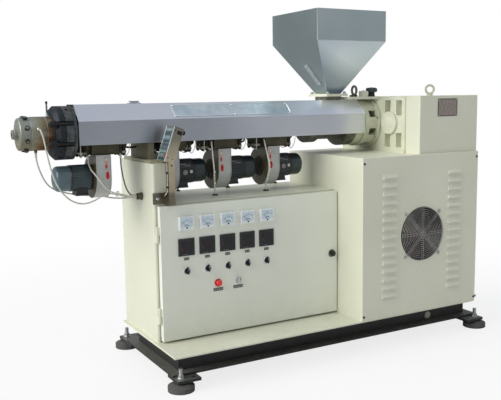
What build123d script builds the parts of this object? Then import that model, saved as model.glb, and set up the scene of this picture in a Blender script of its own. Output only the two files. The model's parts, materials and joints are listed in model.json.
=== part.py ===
"""A single-screw plastic extruder on a welded base, in millimetres.

X runs along the barrel, from the die at its low end to the gearbox at its high end. Y runs from the
operator's side, low, to the back, high, and Z up from the floor. The pieces are drawn with the
barrel's axis at Y = 0. At the end they are all moved, so that the origin is the middle of the
machine's footprint, on the floor. A rise or a drop is counted from the barrel's axis, unless its
name says otherwise.
"""

import math
import os

from build123d import *

axis_height = 1000.0

# The base and its feet
base_left, base_right = -527.0, 1088.0
base_front, base_back = -308.0, 210.0
rail_height, rail_depth = 100.0, 48.0
rail_web, rail_flange = 6.0, 9.0
foot_plate_size, foot_plate_thickness = 100.0, 12.0
foot_plate_seat, foot_plate_margin_front, foot_plate_margin_back = 51.0, 34.0, 20.0
pad_radius, pad_height = 53.0, 30.0
pad_rubber_height, pad_top_radius = 20.0, 33.0
stud_radius, stud_height = 8.0, 88.0
stud_inset_left, stud_inset_right = 28.0, 22.0
stud_outset_front, stud_outset_back = 15.0, 75.0
nut_radius, nut_height = 13.0, 13.0
under_nut_height = 7.0
deck_left, deck_front, deck_thickness = -547.0, -384.0, 6.0

# The control cabinet, with its door on the operator's side
cabinet_left, cabinet_front, cabinet_back = -533.0, -179.0, 190.0
post_width, post_drop = 60.0, 126.0
control_drop = 285.0
sheet = 3.0
bend_radius = 10.0
frame_return = 25.0
door_gap = 5.5
door_inset_left, door_rise_bottom, door_drop_top = 14.0, 9.0, 7.0
door_sheet, door_depth = 2.5, 25.2
doorway_left_strip, doorway_right_strip = 20.0, 24.0
doorway_top_strip, doorway_bottom_strip = 26.0, 36.0

# The hinges and the lock
hinge_length, hinge_radius, hinge_pin_radius = 62.0, 6.5, 3.0
hinge_inset, hinge_standoff = 5.5, 17.0
hinge_from_bottom, hinge_from_top = 104.0, 112.0
hinge_fit, hinge_end_gap, hinge_leaf = 0.05, 0.5, 5.0
lock_inset, lock_from_top = 28.0, 276.0
lock_knob_radius, lock_knob_depth = 13.0, 14.0
lock_lobes, lock_hollow_radius, lock_hollow_inset = 6, 4.0, 2.5
lock_shaft_radius, lock_fit, lock_end_gap = 6.0, 0.1, 1.0
tongue_length, tongue_width, tongue_thickness, tongue_gap = 30.0, 14.0, 3.0, 5.0
tongue_notch_clearance = 5.0

# The instruments on the door, each row placed from the door's top
column_count, column_inset, column_pitch = 5, 108.0, 92.3
ammeter_width, ammeter_height, ammeter_from_top = 64.0, 55.0, 72.0
ammeter_face_depth, ammeter_body_radius, ammeter_body_depth = 12.0, 26.0, 34.0
ammeter_chamfer = 2.0
controller_size, controller_from_top = 70.0, 169.5
controller_bezel_depth, controller_body_size, controller_body_depth = 6.0, 60.0, 78.0
controller_window, controller_window_depth, controller_chamfer = 50.0, 1.0, 1.5
switch_from_top, lower_row_from_top = 267.0, 334.0
switch_hole_radius, bezel_radius, bezel_depth = 11.0, 15.5, 4.0
switch_body_radius, switch_body_depth = 14.0, 40.0
knob_radius, knob_depth, knob_grip_width = 10.5, 16.0, 5.0
knob_skirt, knob_pointer, knob_chamfer = 4.0, 17.0, 1.2
knob_fit, knob_end_gap = 0.1, 0.5
knob_shank_radius, knob_shank_depth = 6.0, 6.0
lamp_radius, lamp_depth, lamp_round = 12.5, 12.0, 5.0
instrument_fit = 1.0

# The motor cabinet, with the fan in its front panel
motor_left, motor_right = 329.0, 996.0
motor_front, motor_drop = -389.0, 135.0
panel_depth, panel_round = 28.0, 3.0
louvre_pitch, louvre_margin = 37.5, 70.0
louvre_width, louvre_height, louvre_depth = 76.0, 21.0, 8.0
louvre_sheet, louvre_brow = 1.5, 12.6
louvre_column_offset, louvre_lift = 187.0, 7.0
fan_opening_radius = 122.0
fan_frame_depth, fan_frame_wall, fan_frame_flange = 70.0, 4.0, 14.0
fan_hub_radius, fan_hub_depth, fan_hub_round, fan_blade_gap = 42.0, 44.0, 6.0, 8.0
fan_blade_count, fan_blade_thickness = 7, 2.5
fan_blade_depth, fan_blade_bow, fan_blade_root_width, fan_blade_tip_width = 36.0, 5.0, 26.0, 62.0
fan_set_back = 38.0
fan_motor_radius, fan_motor_depth = 40.0, 45.0
fan_strut_count, fan_strut_width = 4, 9.0
fan_shaft_radius, fan_shaft_fit = 6.0, 0.1
guard_ring_count, guard_first_radius, guard_ring_pitch = 9, 20.0, 12.3
guard_wire, guard_wire_lap = 2.4, 0.4
guard_spoke_gap, guard_standoff = 9.0, 5.0
guard_spoke_pairs, guard_ear_offset, guard_ear_radius = 4, 97.0, 7.5

# The gearbox and the cover over its drive end
gearbox_left, gearbox_right, gearbox_front = 648.0, 880.0, -279.0
gearbox_face_thickness, gearbox_body_inset, gearbox_round = 44.0, 12.0, 8.0
pocket_depth, pocket_width, pocket_round = 32.0, 40.0, 4.0
pocket_columns = (-238.0, -159.0, 139.0)
pocket_rises = ((34.0, 103.0), (-113.0, -45.0))
bearing_cover_y, bearing_cover_radius, bearing_cover_depth = -178.0, 52.0, 14.0
bearing_cover_round = 2.5
cover_inset_left, cover_right, cover_front = 6.0, 1001.0, -372.0
cover_clearance, cover_round = 1.0, 4.0
passage_clearance = 0.3
eye_ring_radius, eye_wire_radius, eye_collar_radius, eye_collar_height = 19.5, 5.5, 14.0, 10.0
cover_eye_x, cover_eye_y, cover_eye_turn = 893.0, -170.0, -25.0
plate_eye_x, plate_eye_y, plate_eye_turn = 560.0, -20.0, 21.0

# The barrel and the bell housing
barrel_radius, barrel_left = 45.0, -796.0
feed_section_radius, feed_section_left = 72.0, 300.0
front_flange_radius, front_flange_lead, front_flange_width = 84.0, 15.0, 45.0
rear_flange_radius, rear_flange_left, rear_flange_width = 104.0, 468.0, 52.0
bell_ring_radius, bell_ring_width = 104.0, 40.0
bell_radius, bell_wall, bell_flange_radius, bell_flange_width = 110.0, 14.0, 120.0, 16.0
bell_floor = 10.0
window_turns = (67.5, 112.5, 157.5, 202.5, 247.5, 292.5)
window_width, window_height, window_round, window_shift = 42.0, 34.0, 7.0, 10.0

# The feed plate, its fittings and the hopper
feed_plate_half_width, feed_plate_thickness = 90.0, 12.0
feed_block_left, feed_block_right, feed_block_height = 562.0, 592.0, 26.0
feed_block_front, feed_block_back = -84.0, -52.0
filler_x, filler_y = 626.0, -66.0
filler_cap_radius, filler_neck_radius, filler_height, filler_neck_height = 27.0, 15.5, 43.0, 22.0
filler_round = 5.0
throat_half_x, throat_half_y, throat_above_cover = 42.0, 44.0, 16.0
hopper_x = 424.0
hopper_flange_half_x, hopper_flange_half_y, hopper_flange_thickness = 58.0, 74.0, 12.0
outlet_half_x, outlet_half_y, outlet_wall = 38.0, 45.0, 9.0
hopper_half, hopper_cone_height, hopper_box_height, hopper_sheet = 186.0, 230.0, 134.0, 2.0

# The barrel's sheet cover: half a regular octagon
cover_half, cover_skirt_drop = 108.0, 45.0
cover_end_gap, cover_over_bell, barrel_cover_sheet, cover_slot_gap = 2.0, 37.0, 1.5, 0.5

# The heating zones, each with a band, a duct, a blower and its motor
zone_duct_from_end = (117.0, 405.0, 645.0, 897.0)
zone_duct_width, zone_duct_half_depth, zone_duct_drop = 110.0, 66.0, 88.0
heater_radius, heater_length = 66.0, 196.0
terminal_radius, terminal_drop, terminal_spread = 8.0, 24.0, 26.0
terminal_insets = (10.0, 28.0)
blower_from_duct = (-16.0, -14.0, -14.0, -25.0)
blower_side = (-1, 1, 1, 1)
blower_drop, scroll_radius, scroll_thickness = 178.0, 83.0, 60.0
scroll_neck_width = 74.0
intake_radius, intake_depth = 38.0, 3.0
blower_motor_radius, blower_motor_length = 52.0, 102.0
cowl_radius, cowl_length, cowl_round = 50.0, 46.0, 16.0
motor_box_width, motor_box_depth, motor_box_height = 50.0, 60.0, 16.0
motor_box_y, motor_box_inset, motor_box_seat = -8.0, 8.0, 30.0

# The support that carries the barrel on the end post
support_base_thickness, support_base_half, support_inset = 12.0, 150.0, 4.0
support_half, support_thickness = 100.0, 24.0

# The die clamp and the die
clamp_radius, clamp_face_radius = 104.0, 90.0
clamp_front_width, clamp_rear_width = 36.0, 44.0
clamp_gap, clamp_bevel, clamp_back_wall = 2.0, 14.0, 12.0
notch_turns = (67.5, 112.5, 247.5, 292.5)
notch_width, notch_depth = 19.0, 26.0
spanner_turns = (30.0, 150.0, 210.0, 330.0)
spanner_hole_radius, spanner_hole_depth = 6.0, 12.0
clamp_seam_width, clamp_seam_depth = 2.0, 5.0
clamp_bolt_radius, clamp_nut_radius, clamp_nut_depth = 7.5, 13.0, 20.0
clamp_bolt_inset = 8.0
die_radius, die_length, die_round = 62.0, 124.0, 6.0
die_ring_width, die_groove_width, die_groove_depth = 34.0, 2.0, 2.0
nozzle_radius, nozzle_length, nozzle_bore_depth = 18.0, 20.0, 40.0
adjuster_count, adjuster_radius, adjuster_height, adjuster_inset = 8, 8.0, 9.0, 26.0
adjuster_seat = 4.0
probe_inset, probe_radius, probe_length = 8.5, 3.5, 61.0

# The keypad on its arm
arm_plate_width, arm_plate_height, arm_plate_thickness = 88.0, 44.0, 6.0
arm_plate_overhang, arm_plate_rise = 2.0, 1.0
arm_inset, arm_width, arm_depth, arm_standoff = 43.0, 26.0, 26.0, 35.0
arm_rise = 126.0
keypad_length, keypad_depth, keypad_width, keypad_round = 144.0, 42.0, 74.0, 3.0
keypad_tilt, keypad_foot_inset = 19.5, 17.0

# The gland and the terminals that the cables join, and the cables' hand-picked points
gland_y, gland_above_roof, gland_radius, gland_depth = -58.0, 22.0, 12.0, 22.0
cable_radius, cable_offset, arc_share = 3.0, 3.6, 0.45
outlet_radius, outlet_length = 6.0, 9.0
side_outlet_inset, side_outlet_rise, side_outlet_y = 64.0, 21.0, -68.0
under_outlet_inset = 66.0
zone_outlet_from_end, zone_outlet_y, zone_outlet_drop = (52.0, 185.0), -42.0, 85.0
cable_sides = {
    "die_cable_side": (-1, -1),
    "die_cable_under": (1, -1),
    "zone_cable_left": (-1, 1),
    "zone_cable_right": (1, 1),
}
cable_routes = {
    "die_cable_side": (
        (-936.0, -92.0, 1021.0),
        (-932.0, -110.0, 1003.0),
        (-928.0, -117.0, 977.0),
        (-922.0, -115.0, 940.0),
        (-914.0, -111.0, 900.0),
        (-903.0, -106.0, 856.0),
        (-887.0, -101.0, 811.0),
        (-862.0, -97.0, 772.0),
        (-828.0, -93.0, 741.0),
        (-785.0, -89.0, 727.0),
        (-742.0, -85.0, 735.0),
        (-706.0, -80.0, 753.0),
        (-672.0, -74.0, 760.5),
        (-633.0, -67.0, 751.0),
        (-588.0, -61.6, 733.4),
    ),
    "die_cable_under": (
        (-934.0, 0.0, 900.0),
        (-925.0, 9.0, 871.0),
        (-911.5, 25.0, 841.0),
        (-895.0, 43.0, 812.0),
        (-873.0, 63.0, 787.0),
        (-843.0, 77.0, 768.0),
        (-805.0, 87.0, 755.0),
        (-765.0, 92.0, 745.0),
        (-723.0, 92.0, 738.0),
        (-690.0, 86.0, 735.0),
        (-660.0, 62.0, 733.0),
        (-645.0, 25.0, 731.0),
        (-632.0, -12.0, 731.0),
        (-612.0, -40.0, 732.0),
        (-583.0, -54.4, 733.4),
    ),
    "zone_cable_left": (
        (-744.0, -42.0, 885.0),
        (-742.0, -62.0, 858.0),
        (-731.0, -93.0, 836.0),
        (-716.0, -97.0, 812.0),
        (-698.0, -97.0, 788.0),
        (-677.0, -93.0, 770.0),
        (-651.0, -85.0, 758.5),
        (-621.0, -74.0, 752.0),
        (-586.0, -61.6, 740.6),
    ),
    "zone_cable_right": (
        (-611.0, -42.0, 889.0),
        (-611.5, -44.0, 862.0),
        (-608.0, -46.0, 832.0),
        (-603.0, -48.5, 800.0),
        (-597.0, -51.0, 775.0),
        (-588.0, -53.0, 755.0),
        (-573.0, -54.4, 740.6),
    ),
}

# The two stiff wires and the grommets in the roof that they pass through
wire_radius, wire_grommet_radius, grommet_depth, grommet_wall = 2.5, 11.0, 5.0, 4.0
wire_bend_radius, wire_rise = 18.0, 22.0
wire_feet = ((-206.5, -64.0), (51.0, -54.0))
wire_bends = ((-222.0, -94.0), (40.0, -112.0))
wire_ends = ((-228.0, -84.0), (26.0, -84.0))
wire_bend_drops, wire_end_drop = (170.0, 174.0), 54.0

# The black leads from the blower motors' boxes to their grommets in the roof
lead_radius, lead_straight, lead_bend_radius = 4.0, 15.0, 9.0
lead_grommet_radius = 9.0
lead_feet = ((-276.0, 167.0), (-33.0, 149.0), (235.0, 174.0))

# Places that follow from the sizes above
stud_left_x, stud_right_x = base_left + stud_inset_left, base_right - stud_inset_right
stud_front_y, stud_back_y = base_front - stud_outset_front, base_back + stud_outset_back
pad_gap_top = pad_height + under_nut_height
rail_bottom = pad_gap_top + foot_plate_thickness
rail_top = rail_bottom + rail_height
deck_top = rail_top + deck_thickness
post_right, post_top = cabinet_left + post_width, axis_height - post_drop
control_top = axis_height - control_drop
motor_top = axis_height - motor_drop
door_left, door_right = cabinet_left + door_inset_left, motor_left - door_gap
door_bottom, door_top = deck_top + door_rise_bottom, control_top - door_drop_top
door_back = cabinet_front - door_gap
door_front = door_back - door_depth
hinge_x, hinge_y = cabinet_left + hinge_inset, cabinet_front - hinge_standoff
hinge_heights = (door_bottom + hinge_from_bottom, door_top - hinge_from_top)
lock_x, lock_z = door_right - lock_inset, door_top - lock_from_top
columns = [door_left + column_inset + column_pitch * n for n in range(column_count)]
lamp_x = (columns[1] + columns[2]) / 2
selector_x = (columns[2] + columns[3]) / 2
ammeter_z, controller_z = door_top - ammeter_from_top, door_top - controller_from_top
switch_z, lower_row_z = door_top - switch_from_top, door_top - lower_row_from_top
panel_middle_x = (motor_left + motor_right) / 2
panel_middle_z = (deck_top + motor_top) / 2
cover_top = axis_height + cover_half
cover_skirt_z = axis_height - cover_skirt_drop
throat_top = cover_top + throat_above_cover
hopper_flange_top = throat_top + hopper_flange_thickness
hopper_break = hopper_flange_top + hopper_cone_height
hopper_top = hopper_break + hopper_box_height
feed_plate_left = hopper_x + hopper_flange_half_x
feed_plate_top = cover_top + cover_clearance + feed_plate_thickness
gearbox_top = feed_plate_top
cover_left = gearbox_left + cover_inset_left
bell_left = rear_flange_left + rear_flange_width
barrel_cover_left, barrel_cover_right = barrel_left + cover_end_gap, bell_left + cover_over_bell
zone_duct_x = [barrel_left + x for x in zone_duct_from_end]
blower_x = [x + lag for x, lag in zip(zone_duct_x, blower_from_duct)]
zone_outlet_x = [barrel_left + x for x in zone_outlet_from_end]
zone_duct_bottom = axis_height - zone_duct_drop
blower_axis_z = axis_height - blower_drop
clamp_right = barrel_left
clamp_split = clamp_right - clamp_rear_width
clamp_left = clamp_split - clamp_front_width
die_left = clamp_left - die_length
side_outlet_x, under_outlet_x = die_left + side_outlet_inset, die_left + under_outlet_inset
arm_plate_left = cabinet_left - arm_plate_overhang
arm_plate_right = arm_plate_left + arm_plate_width
arm_plate_bottom = control_top + arm_plate_rise
arm_plate_top = arm_plate_bottom + arm_plate_height
arm_left, arm_back = cabinet_left + arm_inset, cabinet_front - arm_standoff
arm_right, arm_front = arm_left + arm_width, arm_back - arm_depth
arm_top = arm_plate_top + arm_rise
gland_z = control_top + gland_above_roof
gland_mouth = cabinet_left - gland_depth


def block(x, y, z):
    """A box between three pairs of limits."""
    size = (x[1] - x[0], y[1] - y[0], z[1] - z[0])
    return Pos(sum(x) / 2, sum(y) / 2, sum(z) / 2) * Box(*size)


def rod_x(radius, x, y, z):
    """A round bar along X between the two ends in x."""
    return Pos(sum(x) / 2, y, z) * Rot(0, 90, 0) * Cylinder(radius, x[1] - x[0])


def rod_y(radius, x, y, z):
    """A round bar along Y between the two ends in y."""
    return Pos(x, sum(y) / 2, z) * Rot(90, 0, 0) * Cylinder(radius, y[1] - y[0])


def rod_z(radius, x, y, z):
    """A round bar along Z between the two ends in z."""
    return Pos(x, y, sum(z) / 2) * Cylinder(radius, z[1] - z[0])


def profile_x(points, x):
    """A prism along X whose outline is a list of (y, z) points."""
    plane = Plane(origin=(x[0], 0, 0), x_dir=(0, 1, 0), z_dir=(1, 0, 0))
    return extrude(plane * make_face(Polyline(*points, close=True)), x[1] - x[0])


def rail(length):
    """A channel lying along X, open towards low Y, with its outer edge at Y = 0 and mitred ends."""
    body = block((0, length), (0, rail_depth), (0, rail_height))
    body -= block(
        (-1, length + 1),
        (-1, rail_depth - rail_web),
        (rail_flange, rail_height - rail_flange),
    )
    mitre = Polyline(
        (0, 0), (length, 0), (length - rail_depth, rail_depth), (rail_depth, rail_depth), close=True
    )
    return body & extrude(make_face(mitre), rail_height)


def base_rails():
    """The four mitred channels of the base: the long pair and the end pair."""
    length, width = base_right - base_left, base_back - base_front
    front = Pos(base_left, base_front, rail_bottom) * rail(length)
    back = Pos(base_right, base_back, rail_bottom) * Rot(0, 0, 180) * rail(length)
    left = Pos(base_left, base_back, rail_bottom) * Rot(0, 0, -90) * rail(width)
    right = Pos(base_right, base_front, rail_bottom) * Rot(0, 0, 90) * rail(width)
    return [front, back], [left, right]


def foot_places():
    """The middle of each levelling stud, with its side of the machine in X and Y."""
    return [
        (x, y, side_x, side_y)
        for x, side_x in ((stud_left_x, -1), (stud_right_x, 1))
        for y, side_y in ((stud_front_y, -1), (stud_back_y, 1))
    ]


def foot_plates():
    plates = []
    for x, y, side_x, side_y in foot_places():
        end = base_left if side_x < 0 else base_right
        if side_y < 0:
            ys = (y - foot_plate_margin_front, base_front + foot_plate_seat)
        else:
            ys = (base_back - foot_plate_seat, y + foot_plate_margin_back)
        xs = sorted((end, end - side_x * foot_plate_size))
        plate = block(xs, ys, (pad_gap_top, rail_bottom))
        plates.append(plate - rod_z(stud_radius, x, y, (pad_gap_top - 1, rail_bottom + 1)))
    return plates


def levelling_pads():
    """Rubber discs with a domed iron top."""
    outline = Polyline(
        (0, 0),
        (pad_radius, 0),
        (pad_radius, pad_rubber_height),
        (pad_top_radius, pad_height),
        (0, pad_height),
        close=True,
    )
    pad = revolve(Plane.XZ * make_face(outline), Axis.Z)
    return [Pos(x, y, 0) * pad for x, y, _, _ in foot_places()]


def levelling_studs():
    """A stud through each foot plate, with a nut under the plate and one on top."""
    stud = rod_z(stud_radius, 0, 0, (pad_height, stud_height))
    under_nut = extrude(RegularPolygon(nut_radius, 6), under_nut_height)
    top_nut = extrude(RegularPolygon(nut_radius, 6), nut_height)
    stud += Pos(0, 0, pad_height) * under_nut + Pos(0, 0, rail_bottom) * top_nut
    return [Pos(x, y, 0) * stud for x, y, _, _ in foot_places()]


def deck_plate():
    return block((deck_left, motor_right), (deck_front, cabinet_back), (rail_top, deck_top))


def end_post():
    """The tall hollow column at the die end, with rounded vertical bends."""
    outer = block((cabinet_left, post_right), (cabinet_front, cabinet_back), (deck_top, post_top))
    outer = fillet(outer.edges().filter_by(Axis.Z), bend_radius)
    hollow = block(
        (cabinet_left + sheet, post_right - sheet),
        (cabinet_front + sheet, cabinet_back - sheet),
        (deck_top - 1, post_top - sheet),
    )
    return outer - fillet(hollow.edges().filter_by(Axis.Z), bend_radius - sheet)


def control_roof():
    """The control cabinet's top sheet, with a hole for each wire grommet."""
    roof = block(
        (post_right, motor_left), (cabinet_front, cabinet_back), (control_top - sheet, control_top)
    )
    through = (control_top - sheet - 1, control_top + 1)
    for x, y in wire_feet:
        roof -= rod_z(wire_grommet_radius - grommet_wall, x, y, through)
    for x, y in lead_feet:
        roof -= rod_z(lead_grommet_radius - grommet_wall, x, y, through)
    return roof


def control_back():
    return block(
        (post_right, motor_left),
        (cabinet_back - sheet, cabinet_back),
        (deck_top, control_top - sheet),
    )


def door_frame():
    """The folded strips round the doorway, the right one notched for the lock's tongue."""
    face = (cabinet_front, cabinet_front + sheet)
    lip = (cabinet_front, cabinet_front + frame_return)
    low, high = deck_top, control_top - sheet
    inner_left, inner_right = post_right + doorway_left_strip, motor_left - doorway_right_strip
    sill_top, header_bottom = deck_top + doorway_bottom_strip, control_top - doorway_top_strip
    left = block((post_right, inner_left), face, (low, high))
    left += block((inner_left - sheet, inner_left), lip, (low, high))
    right = block((inner_right, motor_left), face, (low, high))
    right += block((inner_right, inner_right + sheet), lip, (low, high))
    right -= block(
        (inner_right - 1, inner_right + sheet + 1),
        (cabinet_front + sheet, cabinet_front + frame_return + 1),
        (
            lock_z - tongue_width / 2 - tongue_notch_clearance,
            lock_z + tongue_length + tongue_notch_clearance,
        ),
    )
    across = (inner_left, inner_right)
    sill = block(across, face, (low, sill_top)) + block(across, lip, (sill_top - sheet, sill_top))
    header = block(across, face, (header_bottom, high))
    header += block(across, lip, (header_bottom, header_bottom + sheet))
    return [left, right], [header, sill]


def cabinet_door():
    """A folded tray, cut for the instruments, the switches and the lock."""
    door = block((door_left, door_right), (door_front, door_back), (door_bottom, door_top))
    door -= block(
        (door_left + door_sheet, door_right - door_sheet),
        (door_front + door_sheet, door_back + 1),
        (door_bottom + door_sheet, door_top - door_sheet),
    )
    through = (door_front - 1, door_front + door_sheet + 1)
    half = controller_body_size / 2 + instrument_fit
    for x in columns:
        door -= rod_y(ammeter_body_radius, x, through, ammeter_z)
        door -= block((x - half, x + half), through, (controller_z - half, controller_z + half))
    for x, z in switch_places() + [(lamp_x, lower_row_z)]:
        door -= rod_y(switch_hole_radius, x, through, z)
    return door - rod_y(lock_shaft_radius + lock_fit, lock_x, through, lock_z)


def switch_places():
    """The five zone switches, then the selector."""
    return [(x, switch_z) for x in columns] + [(selector_x, lower_row_z)]


def hinges():
    """Each hinge's fixed half, with its pin, and the half that turns with the door."""
    fixed, turning = [], []
    for middle in hinge_heights:
        low, high = middle - hinge_length / 2, middle + hinge_length / 2
        pin = rod_z(hinge_pin_radius, hinge_x, hinge_y, (low, high))
        lower = rod_z(hinge_radius, hinge_x, hinge_y, (low, middle))
        lower += block(
            (hinge_x - hinge_radius, hinge_x), (hinge_y, cabinet_front), (low, middle)
        )
        fixed.append(lower + pin)
        upper = rod_z(hinge_radius, hinge_x, hinge_y, (middle + hinge_end_gap, high))
        upper += block(
            (hinge_x, door_left),
            (hinge_y - hinge_radius, hinge_y - hinge_radius + hinge_leaf),
            (middle + hinge_end_gap, high),
        )
        bore = hinge_pin_radius + hinge_fit
        turning.append(upper - rod_z(bore, hinge_x, hinge_y, (low, high + 1)))
    return fixed, turning


def ammeters():
    """Square-faced meters with a round body behind the door."""
    meters = []
    for x in columns:
        wide, high = ammeter_width / 2, ammeter_height / 2
        face = block(
            (x - wide, x + wide),
            (door_front - ammeter_face_depth, door_front),
            (ammeter_z - high, ammeter_z + high),
        )
        face = chamfer(face.faces().sort_by(Axis.Y)[0].edges(), ammeter_chamfer)
        body = rod_y(
            ammeter_body_radius - instrument_fit,
            x,
            (door_front, door_front + ammeter_body_depth),
            ammeter_z,
        )
        meters.append(face + body)
    return meters


def temperature_controllers():
    """Square digital controllers: a thin bezel round a sunken window, and a deep body."""
    front = door_front - controller_bezel_depth
    half, window = controller_size / 2, controller_window / 2
    inner = controller_body_size / 2
    middle = (door_front, door_front + controller_body_depth)
    controllers = []
    for x in columns:
        bezel = block(
            (x - half, x + half), (front, door_front), (controller_z - half, controller_z + half)
        )
        bezel = chamfer(bezel.faces().sort_by(Axis.Y)[0].edges(), controller_chamfer)
        bezel -= block(
            (x - window, x + window),
            (front - 1, front + controller_window_depth),
            (controller_z - window, controller_z + window),
        )
        body = block((x - inner, x + inner), middle, (controller_z - inner, controller_z + inner))
        controllers.append(bezel + body)
    return controllers


def switch_bezels():
    """The metal rings of the switches and the lamp, with the contact blocks behind the door."""
    bezels = []
    for x, z in switch_places() + [(lamp_x, lower_row_z)]:
        ring = rod_y(bezel_radius, x, (door_front - bezel_depth, door_front), z)
        neck_radius = switch_hole_radius - instrument_fit
        neck = rod_y(neck_radius, x, (door_front, door_front + door_sheet), z)
        behind = (door_front + door_sheet, door_front + door_sheet + switch_body_depth)
        contacts = rod_y(switch_body_radius, x, behind, z)
        bore = (door_front - bezel_depth - 1, door_front + knob_shank_depth)
        bezel = ring + neck + contacts - rod_y(knob_shank_radius + knob_fit, x, bore, z)
        bezels.append(bezel)
    return bezels


def switch_knob(x, z):
    """A round rotary knob with a raised grip that ends in a pointer."""
    back = door_front - bezel_depth - knob_end_gap
    front = back - knob_depth
    skirt = rod_y(knob_radius, x, (back - knob_skirt, back), z)
    grip = block(
        (x - knob_grip_width / 2, x + knob_grip_width / 2),
        (front, back - knob_skirt / 2),
        (z - knob_radius, z + knob_pointer),
    )
    grip = chamfer(grip.faces().sort_by(Axis.Y)[0].edges(), knob_chamfer)
    shank = rod_y(knob_shank_radius, x, (back, door_front + knob_shank_depth - knob_end_gap), z)
    return skirt + grip + shank


def pilot_lamp():
    """A domed lens with a stem that fills its ring."""
    front = door_front - bezel_depth
    lens = rod_y(lamp_radius, lamp_x, (front - lamp_depth, front), lower_row_z)
    lens = fillet(lens.faces().sort_by(Axis.Y)[0].edges(), lamp_round)
    stem = rod_y(
        knob_shank_radius, lamp_x, (front, door_front + knob_shank_depth), lower_row_z
    )
    return lens + stem


def lock_knob():
    """A lobed knob on a shaft through the door, with an upright tongue behind."""
    face = door_front - lock_end_gap
    knob = rod_y(lock_knob_radius, lock_x, (face - lock_knob_depth, face), lock_z)
    hollow_middle = lock_knob_radius - lock_hollow_inset + lock_hollow_radius
    hollow = Pos(hollow_middle, 0, 0) * rod_y(
        lock_hollow_radius, 0, (face - lock_knob_depth - 1, face + 1), 0
    )
    for lobe in range(lock_lobes):
        turn = 360 / lock_lobes * (lobe + 0.5)
        knob -= Pos(lock_x, 0, lock_z) * Rot(0, turn, 0) * hollow
    back = cabinet_front + sheet + tongue_gap
    shaft = rod_y(lock_shaft_radius, lock_x, (face, back + tongue_thickness), lock_z)
    tongue = block(
        (lock_x - tongue_width / 2, lock_x + tongue_width / 2),
        (back, back + tongue_thickness),
        (lock_z - tongue_width / 2, lock_z + tongue_length),
    )
    return knob + shaft + tongue


def motor_cabinet_sides():
    """The two side walls behind the removable front panel."""
    front = motor_front + panel_depth
    walls = []
    for x in ((motor_left, motor_left + sheet), (motor_right - sheet, motor_right)):
        walls.append(block(x, (front, cabinet_back), (deck_top, motor_top)))
    return walls


def motor_cabinet_back():
    return block(
        (motor_left + sheet, motor_right - sheet),
        (cabinet_back - sheet, cabinet_back),
        (deck_top, motor_top - sheet),
    )


def motor_cabinet_roof():
    return block(
        (motor_left + sheet, motor_right - sheet),
        (motor_front + panel_depth, cabinet_back),
        (motor_top - sheet, motor_top),
    )


def louvre():
    """One pressed hood at the origin: its mouth opens downwards, and it swells towards -Y."""
    half, depth, wall = louvre_height / 2, louvre_depth, louvre_sheet
    brow = half - louvre_brow
    outer = profile_x(
        [(0, half), (-depth, brow), (-depth, -half), (0, -half)],
        (-louvre_width / 2, louvre_width / 2),
    )
    inner = profile_x(
        [
            (wall, half - 2 * wall),
            (wall - depth, brow - wall),
            (wall - depth, -half - 1),
            (wall, -half - 1),
        ],
        (wall - louvre_width / 2, louvre_width / 2 - wall),
    )
    return outer - inner


def louvre_places():
    """The middle of every louvre, in two columns that fill the panel's height."""
    run = motor_top - deck_top - 2 * louvre_margin - louvre_height
    count = int(run / louvre_pitch) + 1
    return [
        (
            panel_middle_x + side * louvre_column_offset,
            panel_middle_z + louvre_lift + louvre_pitch * (n - (count - 1) / 2),
        )
        for side in (-1, 1)
        for n in range(count)
    ]


def fan_panel():
    """The removable front panel: a tray with two columns of louvres and the fan's opening."""
    panel = block(
        (motor_left, motor_right), (motor_front, motor_front + panel_depth), (deck_top, motor_top)
    )
    panel = fillet(panel.faces().sort_by(Axis.Y)[0].edges(), panel_round)
    panel -= block(
        (motor_left + sheet, motor_right - sheet),
        (motor_front + sheet, motor_front + panel_depth + 1),
        (deck_top + sheet, motor_top - sheet),
    )
    through = (motor_front - 1, motor_front + sheet + 1)
    panel -= rod_y(fan_opening_radius, panel_middle_x, through, panel_middle_z)
    half_width, half_height = louvre_width / 2 - louvre_sheet, louvre_height / 2
    slots = [
        block(
            (x - half_width, x + half_width),
            through,
            (z - half_height, z + half_height - 2 * louvre_sheet),
        )
        for x, z in louvre_places()
    ]
    hood = louvre()
    hoods = [Pos(x, motor_front, z) * hood for x, z in louvre_places()]
    return panel - slots + hoods


def fan_frame():
    """The fan's round frame behind the panel, with struts that carry the motor."""
    front = motor_front + sheet
    back = front + fan_frame_depth
    x, z = panel_middle_x, panel_middle_z
    outer = fan_opening_radius + fan_frame_wall
    frame = rod_y(outer, x, (front, back), z)
    frame += rod_y(outer + fan_frame_flange, x, (front, front + fan_frame_wall), z)
    frame -= rod_y(fan_opening_radius, x, (front - 1, back + 1), z)
    motor = rod_y(fan_motor_radius, x, (back - fan_frame_wall, back + fan_motor_depth), z)
    strut = block(
        (0, fan_opening_radius + fan_frame_wall / 2),
        (back - fan_frame_wall, back),
        (-fan_strut_width / 2, fan_strut_width / 2),
    )
    turns = [360 / fan_strut_count * (n + 0.5) for n in range(fan_strut_count)]
    struts = [Pos(x, 0, z) * Rot(0, turn, 0) * strut for turn in turns]
    shaft_front = front + fan_set_back - fan_hub_depth / 2
    shaft = rod_y(fan_shaft_radius, x, (shaft_front, back), z)
    return frame + motor + struts + shaft


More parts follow.
